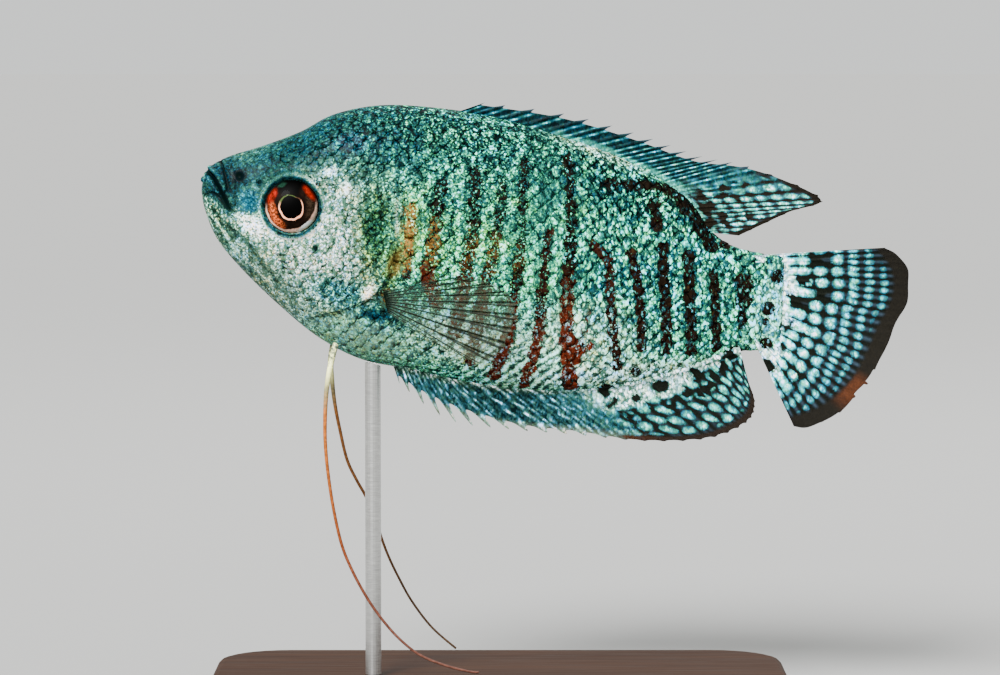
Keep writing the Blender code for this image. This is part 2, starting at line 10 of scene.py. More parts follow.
import bmesh
import bpy
import numpy as np
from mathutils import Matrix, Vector


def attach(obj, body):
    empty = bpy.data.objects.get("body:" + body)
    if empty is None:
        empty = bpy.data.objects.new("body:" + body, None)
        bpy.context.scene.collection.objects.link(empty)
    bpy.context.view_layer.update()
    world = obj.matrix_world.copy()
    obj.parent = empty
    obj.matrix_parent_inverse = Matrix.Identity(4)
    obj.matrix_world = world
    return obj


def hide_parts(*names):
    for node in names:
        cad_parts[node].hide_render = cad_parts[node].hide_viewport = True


bl_info = {
    "name": "Dwarf gourami display model",
    "version": (1, 0, 0),
    "blender": (4, 5, 0),
    "location": "3D View > Sidebar > Gourami",
    "description": "Builds a male dwarf gourami with scales, rayed fins, feelers and its stand",
    "category": "Add Mesh",
}

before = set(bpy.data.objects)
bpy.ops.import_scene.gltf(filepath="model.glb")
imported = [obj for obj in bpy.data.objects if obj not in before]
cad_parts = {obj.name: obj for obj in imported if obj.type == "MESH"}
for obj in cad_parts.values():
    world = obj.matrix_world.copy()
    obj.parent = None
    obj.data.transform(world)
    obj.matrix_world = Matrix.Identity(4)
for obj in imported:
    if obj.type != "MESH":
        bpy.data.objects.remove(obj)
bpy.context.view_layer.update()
MM = 0.001

# How strongly the studio lights a surface, and the curve from a paint to how it shows.
STUDIO_LIGHT = 3.9
TONE_GAIN = 0.253
TONE_FOOT = 1.386
TONE_SHOULDER = 1.166
# The stage: the camera's sensor in mm, the floor's width in metres, and each light's place,
# strength and breadth.
SENSOR_MM = 36.0
FLOOR_WIDTH = 60.0
KEY_PLACE, KEY_STRENGTH, KEY_ANGLE = (-0.33, -0.70, 0.62), 13.0, math.radians(24)
RIM_PLACE, RIM_STRENGTH, RIM_WIDTH = (0.12, 0.30, 0.42), 1.6, 0.3
SKY_COLOUR, SKY_STRENGTH = (0.98, 1.0, 0.99, 1.0), 1.0

# The body, station by station from the snout to the root of the tail fin:
# x and z on the back, x and z on the belly, half width, and how high the widest point lies.
STATIONS = (
    (-33.5, 60.9, -33.6, 60.2, 0.5, 0.50),
    (-32.9, 61.8, -33.7, 59.0, 1.2, 0.50),
    (-31.8, 62.6, -33.2, 56.7, 1.8, 0.50),
    (-29.9, 63.4, -31.9, 53.7, 2.6, 0.50),
    (-26.9, 64.3, -29.2, 50.4, 3.5, 0.52),
    (-22.6, 65.9, -25.1, 46.4, 4.5, 0.54),
    (-18.7, 67.9, -20.6, 42.7, 5.2, 0.55),
    (-13.6, 68.9, -15.8, 40.2, 5.6, 0.57),
    (-7.9, 68.7, -10.2, 39.0, 5.7, 0.57),
    (-1.1, 67.7, -3.4, 37.4, 5.4, 0.57),
    (5.7, 65.8, 4.5, 36.5, 4.8, 0.56),
    (12.4, 63.5, 11.3, 36.8, 4.0, 0.55),
    (17.5, 61.0, 17.0, 37.8, 3.2, 0.54),
    (21.5, 58.2, 21.7, 39.1, 2.5, 0.53),
    (24.0, 54.6, 25.1, 40.4, 1.9, 0.52),
    (26.6, 52.9, 27.4, 41.1, 1.5, 0.50),
    (29.8, 52.1, 29.4, 41.2, 1.1, 0.50),
)
BACK_FULLNESS = 0.86
BELLY_FULLNESS = 1.0
SKIN_INSET = 0.10
NOSE_X = -33.55
SHOULDER_X = -9.0
STALK_X = 29.6
# Rings of the skin, and points on a quarter of a ring, on the smooth head and the scaled trunk.
HEAD_RINGS, HEAD_QUARTER = 236, 90
TRUNK_RINGS, TRUNK_QUARTER = 96, 30
# How far the skin's ends reach past the last ring, at which turns in degrees, and how much of
# the ring's height they keep.
NOSE_CAP = ((-0.28, 0, 0.02), (88, 75, 60, 40, 20), 0.0)
STALK_CAP = ((2.4, 0, 0), (12, 25, 38, 52, 66, 80, 88), 0.96)
# Rings, and points on a quarter, of the grid that scales are placed on.
GRID_RINGS, GRID_QUARTER = 420, 60
# Points on a quarter of a ring before they are spaced evenly.
FINE_QUARTER = 180

# Lines seen from the side.
MOUTH_SLIT = ((-34.2, 62.5), (-33.1, 61.6), (-32.2, 60.8), (-31.6, 59.8), (-30.9, 58.5), (-30.3, 57.3),
              (-29.8, 56.7))
UPPER_LIP = ((-31.9, 63.4), (-31.2, 62.0), (-30.8, 60.7), (-30.6, 59.6), (-30.9, 59.0))
LOWER_LIP = ((-34.4, 58.5), (-33.4, 58.8), (-32.4, 59.1), (-31.5, 58.6), (-30.9, 57.6), (-30.2, 56.8))
JAW_BONE = ((-30.3, 62.6), (-29.9, 61.0), (-29.9, 59.2), (-29.6, 57.8), (-29.3, 56.4))
JAW_FOLD = ((-32.3, 57.4), (-31.3, 55.9), (-30.0, 54.8), (-28.5, 53.6), (-27.2, 51.9), (-25.6, 49.8),
            (-23.9, 47.8))
THROAT_FOLD = ((-32.6, 56.3), (-31.0, 53.8), (-28.9, 51.4), (-26.4, 48.8), (-24.0, 46.4))
GILL_EDGE = (
    (-12.7, 62.2), (-11.4, 60.6), (-10.9, 58.6), (-11.0, 56.4), (-11.4, 53.4), (-12.3, 50.4),
    (-13.4, 48.3), (-14.9, 47.1), (-17.4, 46.0), (-20.4, 45.2), (-22.6, 44.2),
)
CHEEK_EDGE = (
    (-17.2, 63.4), (-18.3, 59.9), (-18.2, 55.4), (-19.0, 51.4), (-21.3, 48.4), (-23.6, 47.0),
)
# Grooves in the skin: the line, its depth and half width, the share of the line over which it
# comes in, and the share from which it fades.
GROOVES = (
    (UPPER_LIP, 0.28, 0.13, 0.12, 1.0), (LOWER_LIP, 0.22, 0.13, 0.12, 1.0),
    (JAW_BONE, 0.05, 0.13, 0.12, 1.0), (JAW_FOLD, 0.20, 0.18, 0.10, 0.75),
    (THROAT_FOLD, 0.16, 0.20, 0.20, 0.75),
)
# Painted shade along the mouth's slit and in the creases of the lips, jaw and throat: the line, how
# dark, and its half width.
CREASE_SHADE = (
    (MOUTH_SLIT, 0.60, 0.24), (UPPER_LIP, 0.40, 0.18), (LOWER_LIP, 0.42, 0.18),
    (JAW_BONE, 0.06, 0.25), (JAW_FOLD, 0.34, 0.22), (THROAT_FOLD, 0.22, 0.20),
)
# x, z, radius of each nostril.
NOSTRILS = ((-29.3, 61.0, 0.5), (-27.0, 60.2, 0.36))
EYE_CENTRE = (-23.3, 57.6)
EYE_RADIUS = 3.05
EYE_HALF_THICKNESS = 1.95
EYE_BULGE = 0.8
EYE_SEGMENTS, EYE_RINGS = 96, 48

# Varnish of the painted coat and fins.
COAT = {"Specular_IOR_Level": 0.02, "Coat_Weight": 0.012, "Coat_Roughness": 0.2}
# How many painted grains, on the body and on the head, and how many specks, dark cells, curls
# and finer and broader mottles there are to a metre.
GRAINS, HEAD_GRAINS = 3300.0, 5000.0
SPECKS, NET_CELLS, CURLS = 1150.0, 1250.0, 1500.0
MOTTLE, DRIFT = 6000.0, 330.0
# How the grains' outlines wander: waves to a metre, and how far in metres.
WANDER = ((1300.0, 0.0004), (4500.0, 0.00016))
# Where a baked texture starts and how much of it is used.
TEXTURE_MARGIN, TEXTURE_SPAN = 0.01, 0.98

# One scale's plate: points along and across it, and where it starts and ends in its pitch.
PLATE_ROWS, PLATE_COLUMNS = 7, 5
PLATE_FRONT, PLATE_REAR = -0.60, 0.76
# The head's scales against the trunk's: their size and their lift.
HEAD_SCALE_SIZE, HEAD_SCALE_LIFT = 0.72, 0.35

# Dark bars on the flank: half width, how well the paint covers and how red it is at the top and
# at the bottom, the line.
BARS = (
    (0.56, 0.74, 0.80, 0.05, 0.30, ((-9.8, 57.8), (-9.9, 56.2), (-10.2, 53.5), (-10.5, 49.6))),
    (0.76, 0.82, 0.98, 0.00, 0.78,
     ((-6.6, 60.6), (-7.0, 58.0), (-7.3, 55.0), (-7.9, 51.5), (-8.2, 50.0), (-7.2, 46.8))),
    (0.72, 0.80, 0.98, 0.00, 0.72,
     ((-2.8, 61.6), (-2.9, 58.5), (-3.2, 54.6), (-3.9, 50.5), (-4.4, 47.0), (-5.2, 43.4))),
    (0.68, 0.70, 0.98, 0.00, 0.76,
     ((0.2, 60.4), (-0.1, 57.0), (-0.8, 52.6), (-1.7, 48.9), (-2.4, 45.2), (-3.5, 40.4))),
    (0.66, 0.64, 0.94, 0.00, 1.00,
     ((2.7, 62.5), (2.4, 58.0), (2.1, 52.0), (1.4, 47.0), (0.7, 42.8), (-0.8, 38.6))),
    (0.62, 0.74, 0.96, 0.15, 0.95,
     ((5.4, 55.0), (5.0, 52.0), (4.6, 48.5), (4.4, 44.6), (3.7, 40.9), (2.6, 37.6))),
    (0.74, 0.68, 1.0, 0.00, 0.95,
     ((7.4, 63.2), (7.9, 58.0), (7.8, 53.5), (7.5, 48.5), (7.4, 43.8), (7.7, 37.2))),
    (0.42, 0.6, 0.6, 0.70, 0.80, ((9.9, 46.0), (9.6, 44.4), (9.3, 42.6))),
    (0.95, 1.0, 1.0, 0.95, 0.80, ((7.5, 42.4), (7.8, 41.4), (7.9, 40.4))),
    (0.34, 1.0, 1.0, 0.95, 0.80, ((8.0, 41.0), (9.2, 41.3), (10.4, 42.0))),
    (0.56, 0.95, 0.95, 0.20, 0.20,
     ((10.2, 53.4), (11.9, 52.0), (12.2, 49.5), (12.4, 46.5), (12.7, 42.6), (13.2, 39.6))),
    (0.54, 1.0, 1.0, 0.08, 0.10, ((14.6, 52.4), (15.3, 49.6), (15.7, 46.0), (15.8, 41.6))),
    (0.60, 1.0, 1.0, 0.00, 0.05, ((17.2, 58.2), (17.4, 56.8), (17.5, 55.2))),
    (0.60, 1.0, 1.0, 0.02, 0.08, ((18.2, 53.2), (18.3, 49.6), (18.6, 45.6), (18.7, 41.2))),
    (0.62, 1.0, 1.0, 0.02, 0.06, ((21.1, 52.2), (21.2, 48.6), (21.4, 44.8), (21.5, 41.2))),
    (0.52, 1.0, 1.0, 0.02, 0.05, ((24.0, 49.8), (24.2, 46.8), (24.3, 43.8), (24.3, 41.4))),
    (0.95, 1.0, 1.0, 0.02, 0.02, ((27.3, 49.2), (27.4, 48.2), (27.4, 47.0))),
    (0.48, 1.0, 1.0, 0.02, 0.02, ((27.4, 47.6), (27.3, 45.8), (27.2, 43.8))),
    (0.85, 1.0, 1.0, 0.00, 0.00, ((18.9, 59.6), (20.8, 57.8), (22.3, 55.7), (23.6, 53.4))),
    (0.60, 0.58, 0.8, 0.00, 0.00, ((11.0, 60.2), (13.2, 60.0), (15.4, 59.9), (18.9, 59.5))),
)
# Dark spots: x, z, radius, darkness.
SPOTS = (
    (7.8, 37.6, 1.0, 1.0), (15.3, 38.9, 0.6, 1.0), (15.2, 37.4, 0.5, 1.0), (2.6, 37.6, 0.7, 0.9),
    (26.4, 40.9, 0.9, 1.0), (12.4, 60.2, 1.0, 0.7), (15.3, 59.9, 0.9, 0.66), (-20.3, 60.2, 0.35, 0.8),
    (25.4, 53.4, 0.8, 0.9), (9.0, 42.0, 0.7, 0.7), (-12.6, 47.4, 0.75, 0.95),
)
# Soft strokes of paint, laid one over the other: x, z, half length, half height, lean in
# degrees, how strongly it covers, brightness, warmth from -1 for blue to 1 for ochre, silver,
# grey, net of dark lines (specks where it is below 0) and grain.
STROKES = (
    (-24.0, 56.0, 11.0, 11.0, 0, 1.0, 0.52, -0.05, 0.45, 0.0, -0.3, 0.55),
    (-22.5, 63.8, 10.5, 2.9, 24, 1.0, 0.33, -0.50, 0.0, 0.0, 0.40, 0.32),
    (-13.0, 66.0, 6.5, 4.4, 8, 1.0, 0.43, -0.20, 0.0, 0.0, 1.0, 0.44),
    (1.0, 65.5, 13.0, 4.0, -9, 1.0, 0.49, -0.10, 0.0, 0.0, 0.6, 1.0),
    (-20.5, 53.0, 6.3, 6.4, 0, 1.0, 0.60, 0.0, 0.85, 0.0, -1.0, 0.45),
    (-30.8, 55.6, 3.2, 2.1, -50, 1.0, 0.52, 0.0, 0.40, 0.0, -0.2, 0.6),
    (-25.5, 49.0, 6.4, 2.1, -45, 1.0, 0.50, 0.0, 0.45, 0.40, -0.2, 0.55),
    (-31.2, 60.2, 2.5, 3.2, 0, 1.0, 0.17, -0.70, 0.0, 0.08, 0.0, 0.36),
    (-32.5, 57.4, 0.9, 2.0, 32, 1.0, 0.50, 0.35, 0.3, 0.0, -0.4, 0.8),
    # A near-black stroke over the front nostril: painted shade in its pit.
    (-29.2, 60.9, 1.0, 0.85, -35, 1.0, 0.02, -0.60, 0.0, 0.0, 0.0, 0.30),
    (-13.9, 55.0, 2.3, 5.0, 0, 1.0, 0.50, 1.0, 0.0, 0.0, 0.8, 0.5),
    (-17.5, 47.9, 4.0, 1.5, -14, 0.9, 0.48, -0.60, 0.1, 0.0, 0.0, 0.7),
    (-15.5, 42.6, 7.0, 2.7, -14, 1.0, 0.74, 0.0, 0.1, 0.80, 0.0, 0.40),
    (-3.0, 42.5, 7.5, 3.2, -10, 1.0, 0.73, 0.15, 0.35, 0.0, 0.0, 0.72),
    (-2.5, 52.5, 8.5, 4.4, -10, 0.9, 0.62, 0.50, 0.0, 0.0, 0.0, 0.66),
    (9.0, 42.5, 8.0, 4.2, 0, 1.0, 0.60, 0.02, 0.30, 0.0, 0.0, 0.6),
    (13.0, 38.6, 13.0, 1.5, 3, 1.0, 0.70, -0.10, 0.40, 0.0, 0.0, 0.7),
    (16.0, 58.6, 9.0, 3.0, -26, 1.0, 0.35, -0.20, 0.0, 0.0, 0.3, 0.98),
    (20.0, 48.5, 7.5, 6.5, 0, 1.0, 0.47, -0.35, 0.0, 0.0, 0.0, 0.78),
    (31.3, 46.5, 2.4, 5.8, -22, 1.0, 0.74, -0.50, 0.20, 0.0, 0.0, 0.6),
    (-9.9, 54.8, 1.3, 4.4, 0, 1.0, 0.58, 1.35, 0.0, 0.0, 0.0, 0.5),
    (-7.4, 53.6, 1.1, 3.0, 0, 1.0, 0.54, 0.74, 0.0, 0.0, 0.0, 0.7),
    (-11.7, 51.2, 2.2, 1.0, 74, 1.0, 0.50, 2.0, 0.0, 0.0, 0.0, 0.35),
    (-14.7, 47.9, 0.75, 1.2, -25, 1.0, 0.80, 0.25, 0.9, 0.0, 0.0, 0.4),
    (-11.5, 56.6, 0.20, 2.2, 0, 0.8, 0.62, 0.10, 0.6, 0.0, 0.0, 0.4),
    (-12.8, 47.3, 0.90, 1.20, 0, 0.9, 0.15, 0.80, 0.0, 0.4, 0.0, 0.4),
    # A dark blue stroke: painted shadow under the gill cover's lower edge.
    (-14.0, 45.4, 1.7, 0.55, -8, 1.0, 0.12, -1.0, 0.0, 0.0, 0.0, 0.4),
    (-16.4, 64.9, 2.1, 1.3, 10, 0.9, 0.38, -1.5, 0.0, 0.1, 0.5, 0.7),
    (-19.5, 66.3, 2.0, 0.9, 24, 0.7, 0.42, -0.7, 0.0, 0.0, 0.5, 0.5),
    (-28.1, 58.0, 1.2, 1.5, 0, 1.0, 0.42, -1.6, 0.0, 0.0, 0.0, 0.4),
    (-27.7, 55.4, 1.9, 0.95, -36, 1.0, 0.88, 0.0, 1.0, 0.0, 0.0, 0.9),
    (-18.9, 61.6, 0.75, 0.6, 0, 0.9, 0.92, 0.10, 0.8, 0.0, 0.0, 0.6),
    (-17.1, 59.6, 0.65, 0.75, 0, 0.95, 0.95, 0.10, 0.9, 0.0, 0.0, 0.6),
    (-19.3, 49.2, 0.95, 0.45, 38, 0.8, 0.30, 0.0, 0.0, 0.0, 0.0, 0.5),
    (-20.6, 52.9, 0.35, 0.5, 20, 0.9, 0.12, 0.0, 0.0, 0.0, 0.0, 0.5),
    (11.5, 64.0, 7.0, 1.1, -21, 0.9, 0.72, 0.10, 0.40, 0.0, 0.0, 0.9),
)

# Fins: how many rays, how deep the root sinks in, half the web's thickness and a ray's height
# over it, then matched points on the root and at the tips, from the first ray to the last.
DORSAL_RAYS, ANAL_RAYS, CAUDAL_RAYS, PECTORAL_RAYS = 24, 29, 14, 13
FIN_SINK, CAUDAL_SINK, PECTORAL_SINK = 0.7, 0.9, 0.2
FIN_WEB, PECTORAL_WEB = 0.09, 0.03
FIN_RIDGE, PECTORAL_RIDGE = 0.15, 0.05
DORSAL_ROOT = ((-4.3, 68.3), (3.4, 66.4), (10.7, 64.0), (15.8, 61.8), (19.5, 59.7), (21.9, 57.7),
               (23.2, 55.9), (24.1, 54.5))
DORSAL_TIPS = ((-1.7, 69.2), (8.1, 67.8), (16.4, 65.4), (22.6, 63.2), (28.4, 61.9), (36.4, 58.4),
               (32.6, 56.8), (27.0, 54.2))
ANAL_ROOT = ((-12.0, 39.3), (-8.7, 38.7), (-4.5, 37.6), (2.3, 36.7), (9.1, 36.7), (15.8, 37.6),
             (21.5, 39.1), (24.9, 40.3), (27.2, 41.1))
ANAL_TIPS = ((-11.4, 37.4), (-5.9, 33.3), (1.0, 32.2), (8.6, 31.6), (16.4, 30.9), (23.6, 31.2),
             (27.9, 33.0), (28.9, 35.1), (28.2, 37.4))
CAUDAL_ROOT = ((29.6, 52.0), (29.9, 50.4), (29.9, 48.6), (29.8, 46.9), (29.7, 45.2), (29.5, 43.7),
               (29.4, 42.4), (29.2, 41.3))
CAUDAL_TIPS = ((44.3, 52.9), (46.2, 50.2), (46.2, 46.8), (44.5, 43.2), (42.7, 39.2), (40.6, 36.2),
               (37.3, 33.4), (33.6, 31.9))
PECTORAL_ROOT = ((-12.9, 48.3), (-12.8, 47.8), (-12.7, 47.3), (-12.6, 46.8), (-12.5, 46.2),
                 (-12.4, 45.7))
PECTORAL_TIPS = ((-6.2, 50.0), (-1.4, 49.6), (1.9, 47.2), (1.4, 43.6), (-1.6, 40.2), (-7.9, 42.9))
# Dark spots on the fins: x, z, radius.
CAUDAL_SPOTS = (
    (31.3, 49.6, 0.8), (30.2, 46.0, 0.8), (30.0, 44.5, 0.45), (34.4, 49.2, 0.8), (35.6, 51.1, 0.7),
    (33.2, 46.9, 0.8), (36.2, 47.6, 0.6), (32.4, 44.0, 0.7), (30.0, 41.9, 0.8), (32.5, 41.3, 0.7),
    (30.1, 39.2, 0.9), (37.4, 49.6, 0.6), (34.2, 43.0, 0.5), (33.6, 38.2, 0.6),
)
ANAL_SPOTS = (
    (25.9, 40.7, 0.7), (25.2, 39.4, 0.6), (24.4, 38.0, 0.65), (23.6, 37.0, 0.55), (22.5, 36.3, 0.5),
    (21.0, 36.5, 0.45), (19.4, 35.2, 0.5), (18.1, 37.2, 0.85), (22.2, 38.6, 0.75), (15.6, 35.6, 0.5),
    (11.9, 36.8, 0.8), (12.7, 35.2, 0.5), (11.3, 34.2, 0.35), (14.9, 33.8, 0.5), (8.6, 36.0, 0.45),
    (9.2, 35.4, 0.35), (3.9, 35.4, 0.4), (17.3, 34.6, 0.35),
)
DORSAL_SPOTS = (
    (22.5, 58.9, 0.7), (23.3, 57.3, 0.8), (23.5, 55.7, 0.7), (25.0, 59.8, 0.5), (25.2, 58.9, 0.4),
    (25.4, 56.4, 0.5), (25.3, 55.5, 0.5), (26.8, 58.3, 0.4), (26.7, 60.2, 0.35), (27.8, 56.5, 0.4),
)

# The feelers: points along each, radius of the middle part, and the middle lines as x, y, z.
FEELER_POINTS = 150
FEELER_RADIUS = 0.22
FEELER_LEFT = (
    (-18.2, -0.9, 43.2), (-18.9, -1.4, 40.6), (-19.5, -1.9, 37.3), (-19.7, -2.2, 34.4),
    (-19.7, -2.5, 31.1), (-19.4, -2.8, 27.7), (-18.8, -3.1, 23.7), (-17.9, -3.4, 19.7),
    (-16.8, -3.7, 16.9), (-15.2, -4.0, 13.9), (-13.5, -4.2, 11.4), (-11.4, -4.4, 9.0),
    (-9.0, -4.5, 7.1), (-6.1, -4.5, 5.9), (-3.4, -4.4, 5.2), (-2.4, -4.3, 5.1),
)
FEELER_RIGHT = (
    (-18.6, 0.9, 43.2), (-19.2, 1.4, 40.2), (-19.1, 2.0, 37.6), (-18.8, 2.6, 34.8),
    (-18.3, 3.2, 32.0), (-17.5, 3.9, 28.4), (-16.4, 4.6, 25.9), (-15.5, 5.2, 24.2),
    (-14.5, 5.9, 21.9), (-13.6, 6.6, 18.9), (-12.8, 7.1, 16.7), (-11.7, 7.6, 14.3),
    (-10.2, 8.1, 11.5), (-7.9, 8.5, 8.4), (-5.1, 8.7, 5.9),
)


def paint(*shown):
    """The paint that shows as this red, green and blue, from 0 to 255, in the studio."""
    shares = (value / 255 for value in shown)
    return tuple(min(1.0, TONE_GAIN * s**TONE_FOOT / (1 - s) ** TONE_SHOULDER / STUDIO_LIGHT)
                 for s in shares)


def colour_property(name, description, default):
    """A colour that a user can change."""
    return bpy.props.FloatVectorProperty(
        name=name, description=description, default=default, subtype="COLOR", min=0, max=1)


def length_property(name, description, millimetres):
    """A length that a user can change."""
    return bpy.props.FloatProperty(
        name=name, description=description, default=millimetres * MM, unit="LENGTH")


class GouramiScales(bpy.types.PropertyGroup):
    """Sizes of the scales."""

    pitch: length_property("Pitch", "From one scale to the next along a row, at the shoulder", 1.75)
    row: length_property("Row spacing", "From one row to the next, at the shoulder", 0.98)
    lift: length_property("Lift", "How far a scale's free edge stands off the skin", 0.10)
    taper: bpy.props.FloatProperty(
        name="Taper", description="Size of a scale at the tail, as a share of one at the shoulder",
        default=0.76, min=0.3, max=1)
    seed: bpy.props.IntProperty(
        name="Seed", description="Starts the draw of each scale's own shade", default=7)


class GouramiColours(bpy.types.PropertyGroup):
    """The paints."""

    shadow: colour_property("Shadow", "Darkest teal, between the scales", paint(2, 24, 21))
    deep: colour_property("Deep teal", "Shaded scales", paint(22, 80, 72))
    teal: colour_property("Teal", "The body's main colour", paint(46, 132, 120))
    mint: colour_property("Mint", "Bright scales", paint(84, 184, 160))
    glint: colour_property("Glint", "Glittering scales", paint(154, 228, 204))
    pearl: colour_property("Pearl", "The brightest scales", paint(204, 246, 232))
    cream: colour_property("Cream", "The brightest glints", paint(250, 250, 240))
    silver_dark: colour_property("Dark silver", "Specks on the cheek", paint(38, 92, 72))
    silver: colour_property("Silver", "Cheek and lower flank", paint(154, 190, 168))
    grey_dark: colour_property("Dark grey", "Shade on the throat", paint(52, 74, 64))
    grey: colour_property("Grey", "Throat and breast", paint(118, 138, 126))
    bar_dark: colour_property("Dark bar", "Bars above and towards the tail", paint(26, 21, 14))
    bar_red: colour_property("Red bar", "Bars below and towards the head", paint(120, 48, 25))
    web: colour_property("Fin web", "Dark skin between the rays", paint(27, 31, 24))
    web_edge: colour_property("Fin edge", "Orange brown lower edge of the tail", paint(128, 70, 34))
    line: colour_property("Fin line", "Lilac blue along the rays", paint(92, 116, 134))
    ray: colour_property("Clear fin ray", "Rays of the breast fins", paint(12, 28, 18))
    iris: colour_property("Iris", "Dark ground of the eye", paint(58, 35, 24))
    iris_red: colour_property("Iris red", "Red arcs of the eye", paint(206, 58, 24))
    feeler_root: colour_property("Feeler root", "Top of a feeler", paint(238, 236, 214))
    feeler_gold: colour_property("Feeler gold", "Middle of a feeler", paint(202, 146, 58))
    feeler_tip: colour_property("Feeler tip", "Lower part of a feeler", paint(172, 100, 48))
    wood: colour_property("Wood", "Base of the stand", paint(84, 50, 30))
    floor: colour_property("Floor", "The studio floor", (0.275, 0.275, 0.269))


class GouramiStage(bpy.types.PropertyGroup):
    """The camera."""

    distance: length_property("Camera distance", "From the camera to the picture's middle", 450)
    height: length_property("Aim height", "Height of the middle of the picture", 42.65)
    picture_width: length_property("Picture width", "How much the picture spans at the fish", 113.15)
    elevation: bpy.props.FloatProperty(
        name="Elevation", description="How far the camera looks down",
        default=math.radians(4), subtype="ANGLE")


def smooth_at(points, share):
    """Points at shares, from 0 to 1, of a smooth curve through the given points."""
    points = np.asarray(points, float)
    last = len(points) - 1
    place = np.clip(np.asarray(share, float), 0, 1) * last
    i = np.minimum(place.astype(int), last - 1)
    t = (place - i)[..., None]
    before, start = points[np.maximum(i - 1, 0)], points[i]
    end, after = points[i + 1], points[np.minimum(i + 2, last)]
    return 0.5 * (
        2 * start + (end - before) * t + (2 * before - 5 * start + 4 * end - after) * t**2
        + (3 * start - before - 3 * end + after) * t**3
    )


def ease(low, high, value):
    """A smooth step from 0 at low to 1 at high."""
    t = np.clip((value - low) / (high - low), 0, 1)
    return t * t * (3 - 2 * t)


def bump(value, width):
    """A rounded rise of height 1 at 0."""
    return np.exp(-((value / width) ** 2))


def unit(vectors):
    """The same directions with a length of 1."""
    return vectors / np.maximum(np.linalg.norm(vectors, axis=-1, keepdims=True), 1e-9)


def run_length(points):
    """How long a line of points is up to each of them."""
    return np.concatenate([[0], np.cumsum(np.linalg.norm(np.diff(points, axis=0), axis=1))])


def eye_distance(x, z):
    """Distance from the middle of the eye, seen from the side."""
    return np.hypot(x - EYE_CENTRE[0], z - EYE_CENTRE[1])


def line_distance(line, x, z, count=40):
    """Distance from points to a smooth line, its side (+1 on the left), and share along it."""
    line = smooth_at(line, np.linspace(0, 1, count))
    best = np.full(np.shape(x), 1e9)
    side = np.zeros(np.shape(x))
    share = np.zeros(np.shape(x))
    for i in range(count - 1):
        (x0, z0), (x1, z1) = line[i], line[i + 1]
        dx, dz = x1 - x0, z1 - z0
        t = np.clip(((x - x0) * dx + (z - z0) * dz) / (dx * dx + dz * dz), 0, 1)
        away = np.hypot(x - x0 - t * dx, z - z0 - t * dz)
        nearer = away < best
        best = np.where(nearer, away, best)
        side = np.where(nearer, np.sign(dx * (z - z0) - dz * (x - x0)), side)
        share = np.where(nearer, (i + t) / (count - 1), share)
    return best, side, share


def section_width(height, half_width, widest):
    """Half the body's width at a height from 0 on the belly to 1 on the back."""
    above = height > widest
    away = np.where(above, (height - widest) / (1 - widest), (widest - height) / widest)
    power = np.where(above, BACK_FULLNESS, BELLY_FULLNESS) / 2
    return half_width * np.maximum(0, 1 - np.minimum(away, 1) ** 2) ** power


def skin_relief(x, z):
    """How far the skin stands out, in mm, at places seen from the side."""
    # The bony rim round the eye, and the socket.
    r = eye_distance(x, z)
    rise = 0.32 * bump(r - 3.42, 0.24) - 0.10 * bump(r - 3.85, 0.18) + 0.12 * bump(r - 4.3, 0.5)
    rise -= SKIN_INSET + 2.1 * (1 - ease(2.7, 3.18, r))
    # The gill cover's raised edge, and the groove behind it.
    away, side, share = line_distance(GILL_EDGE, x, z)
    behind = away * side
    cover = np.where(behind <= 0, 0.34 * np.exp(np.minimum(behind, 0) / 2.2), 0)
    lip = np.sqrt(np.clip(1 - ease(-0.35, 0.0, behind), 0, 1))
    groove = np.where(behind > 0, 0.22 * bump(behind, 0.45), 0)
    rise += ease(0.0, 0.12, share) * (1 - ease(0.86, 1.0, share)) * (cover * lip - groove)
    # The cheek's edge, then the lips on both sides of the mouth.
    away, side, share = line_distance(CHEEK_EDGE, x, z)
    rise += (0.10 * bump(away * side - 0.5, 0.35) - 0.13 * bump(away, 0.22)) * ease(0, 0.1, share)
    away, side, share = line_distance(MOUTH_SLIT, x, z)
    inside = (1 - ease(0.90, 1.0, share)) * (0.3 + 0.7 * ease(-33.7, -32.6, x))
    rise += inside * (0.34 * bump(away * side + 0.45, 0.34) + 0.36 * bump(away * side - 0.42, 0.30))
    rise -= (0.15 + 0.60 * inside) * bump(away, 0.15)
    for line, deep, width, start, end in GROOVES:
        away, _, share = line_distance(line, x, z)
        rise -= deep * bump(away, width) * ease(0, start, share) * (1 - ease(end, end + 0.25, share))
    for nx, nz, radius in NOSTRILS:
        rise -= 0.30 * (1 - ease(0.0, 1.2, np.hypot(x - nx, z - nz) / radius))
    return rise


def shares_between(start, end, count):
    """Station shares spaced evenly by length from one x to another."""
    share = np.linspace(0, 1, 2400)
    stations = smooth_at(STATIONS, share)
    middle = 0.5 * (stations[:, 0:2] + stations[:, 2:4])
    length = run_length(middle)
    first, last = np.interp((start, end), middle[:, 0], length)
    return np.interp(np.linspace(first, last, count), length, share)


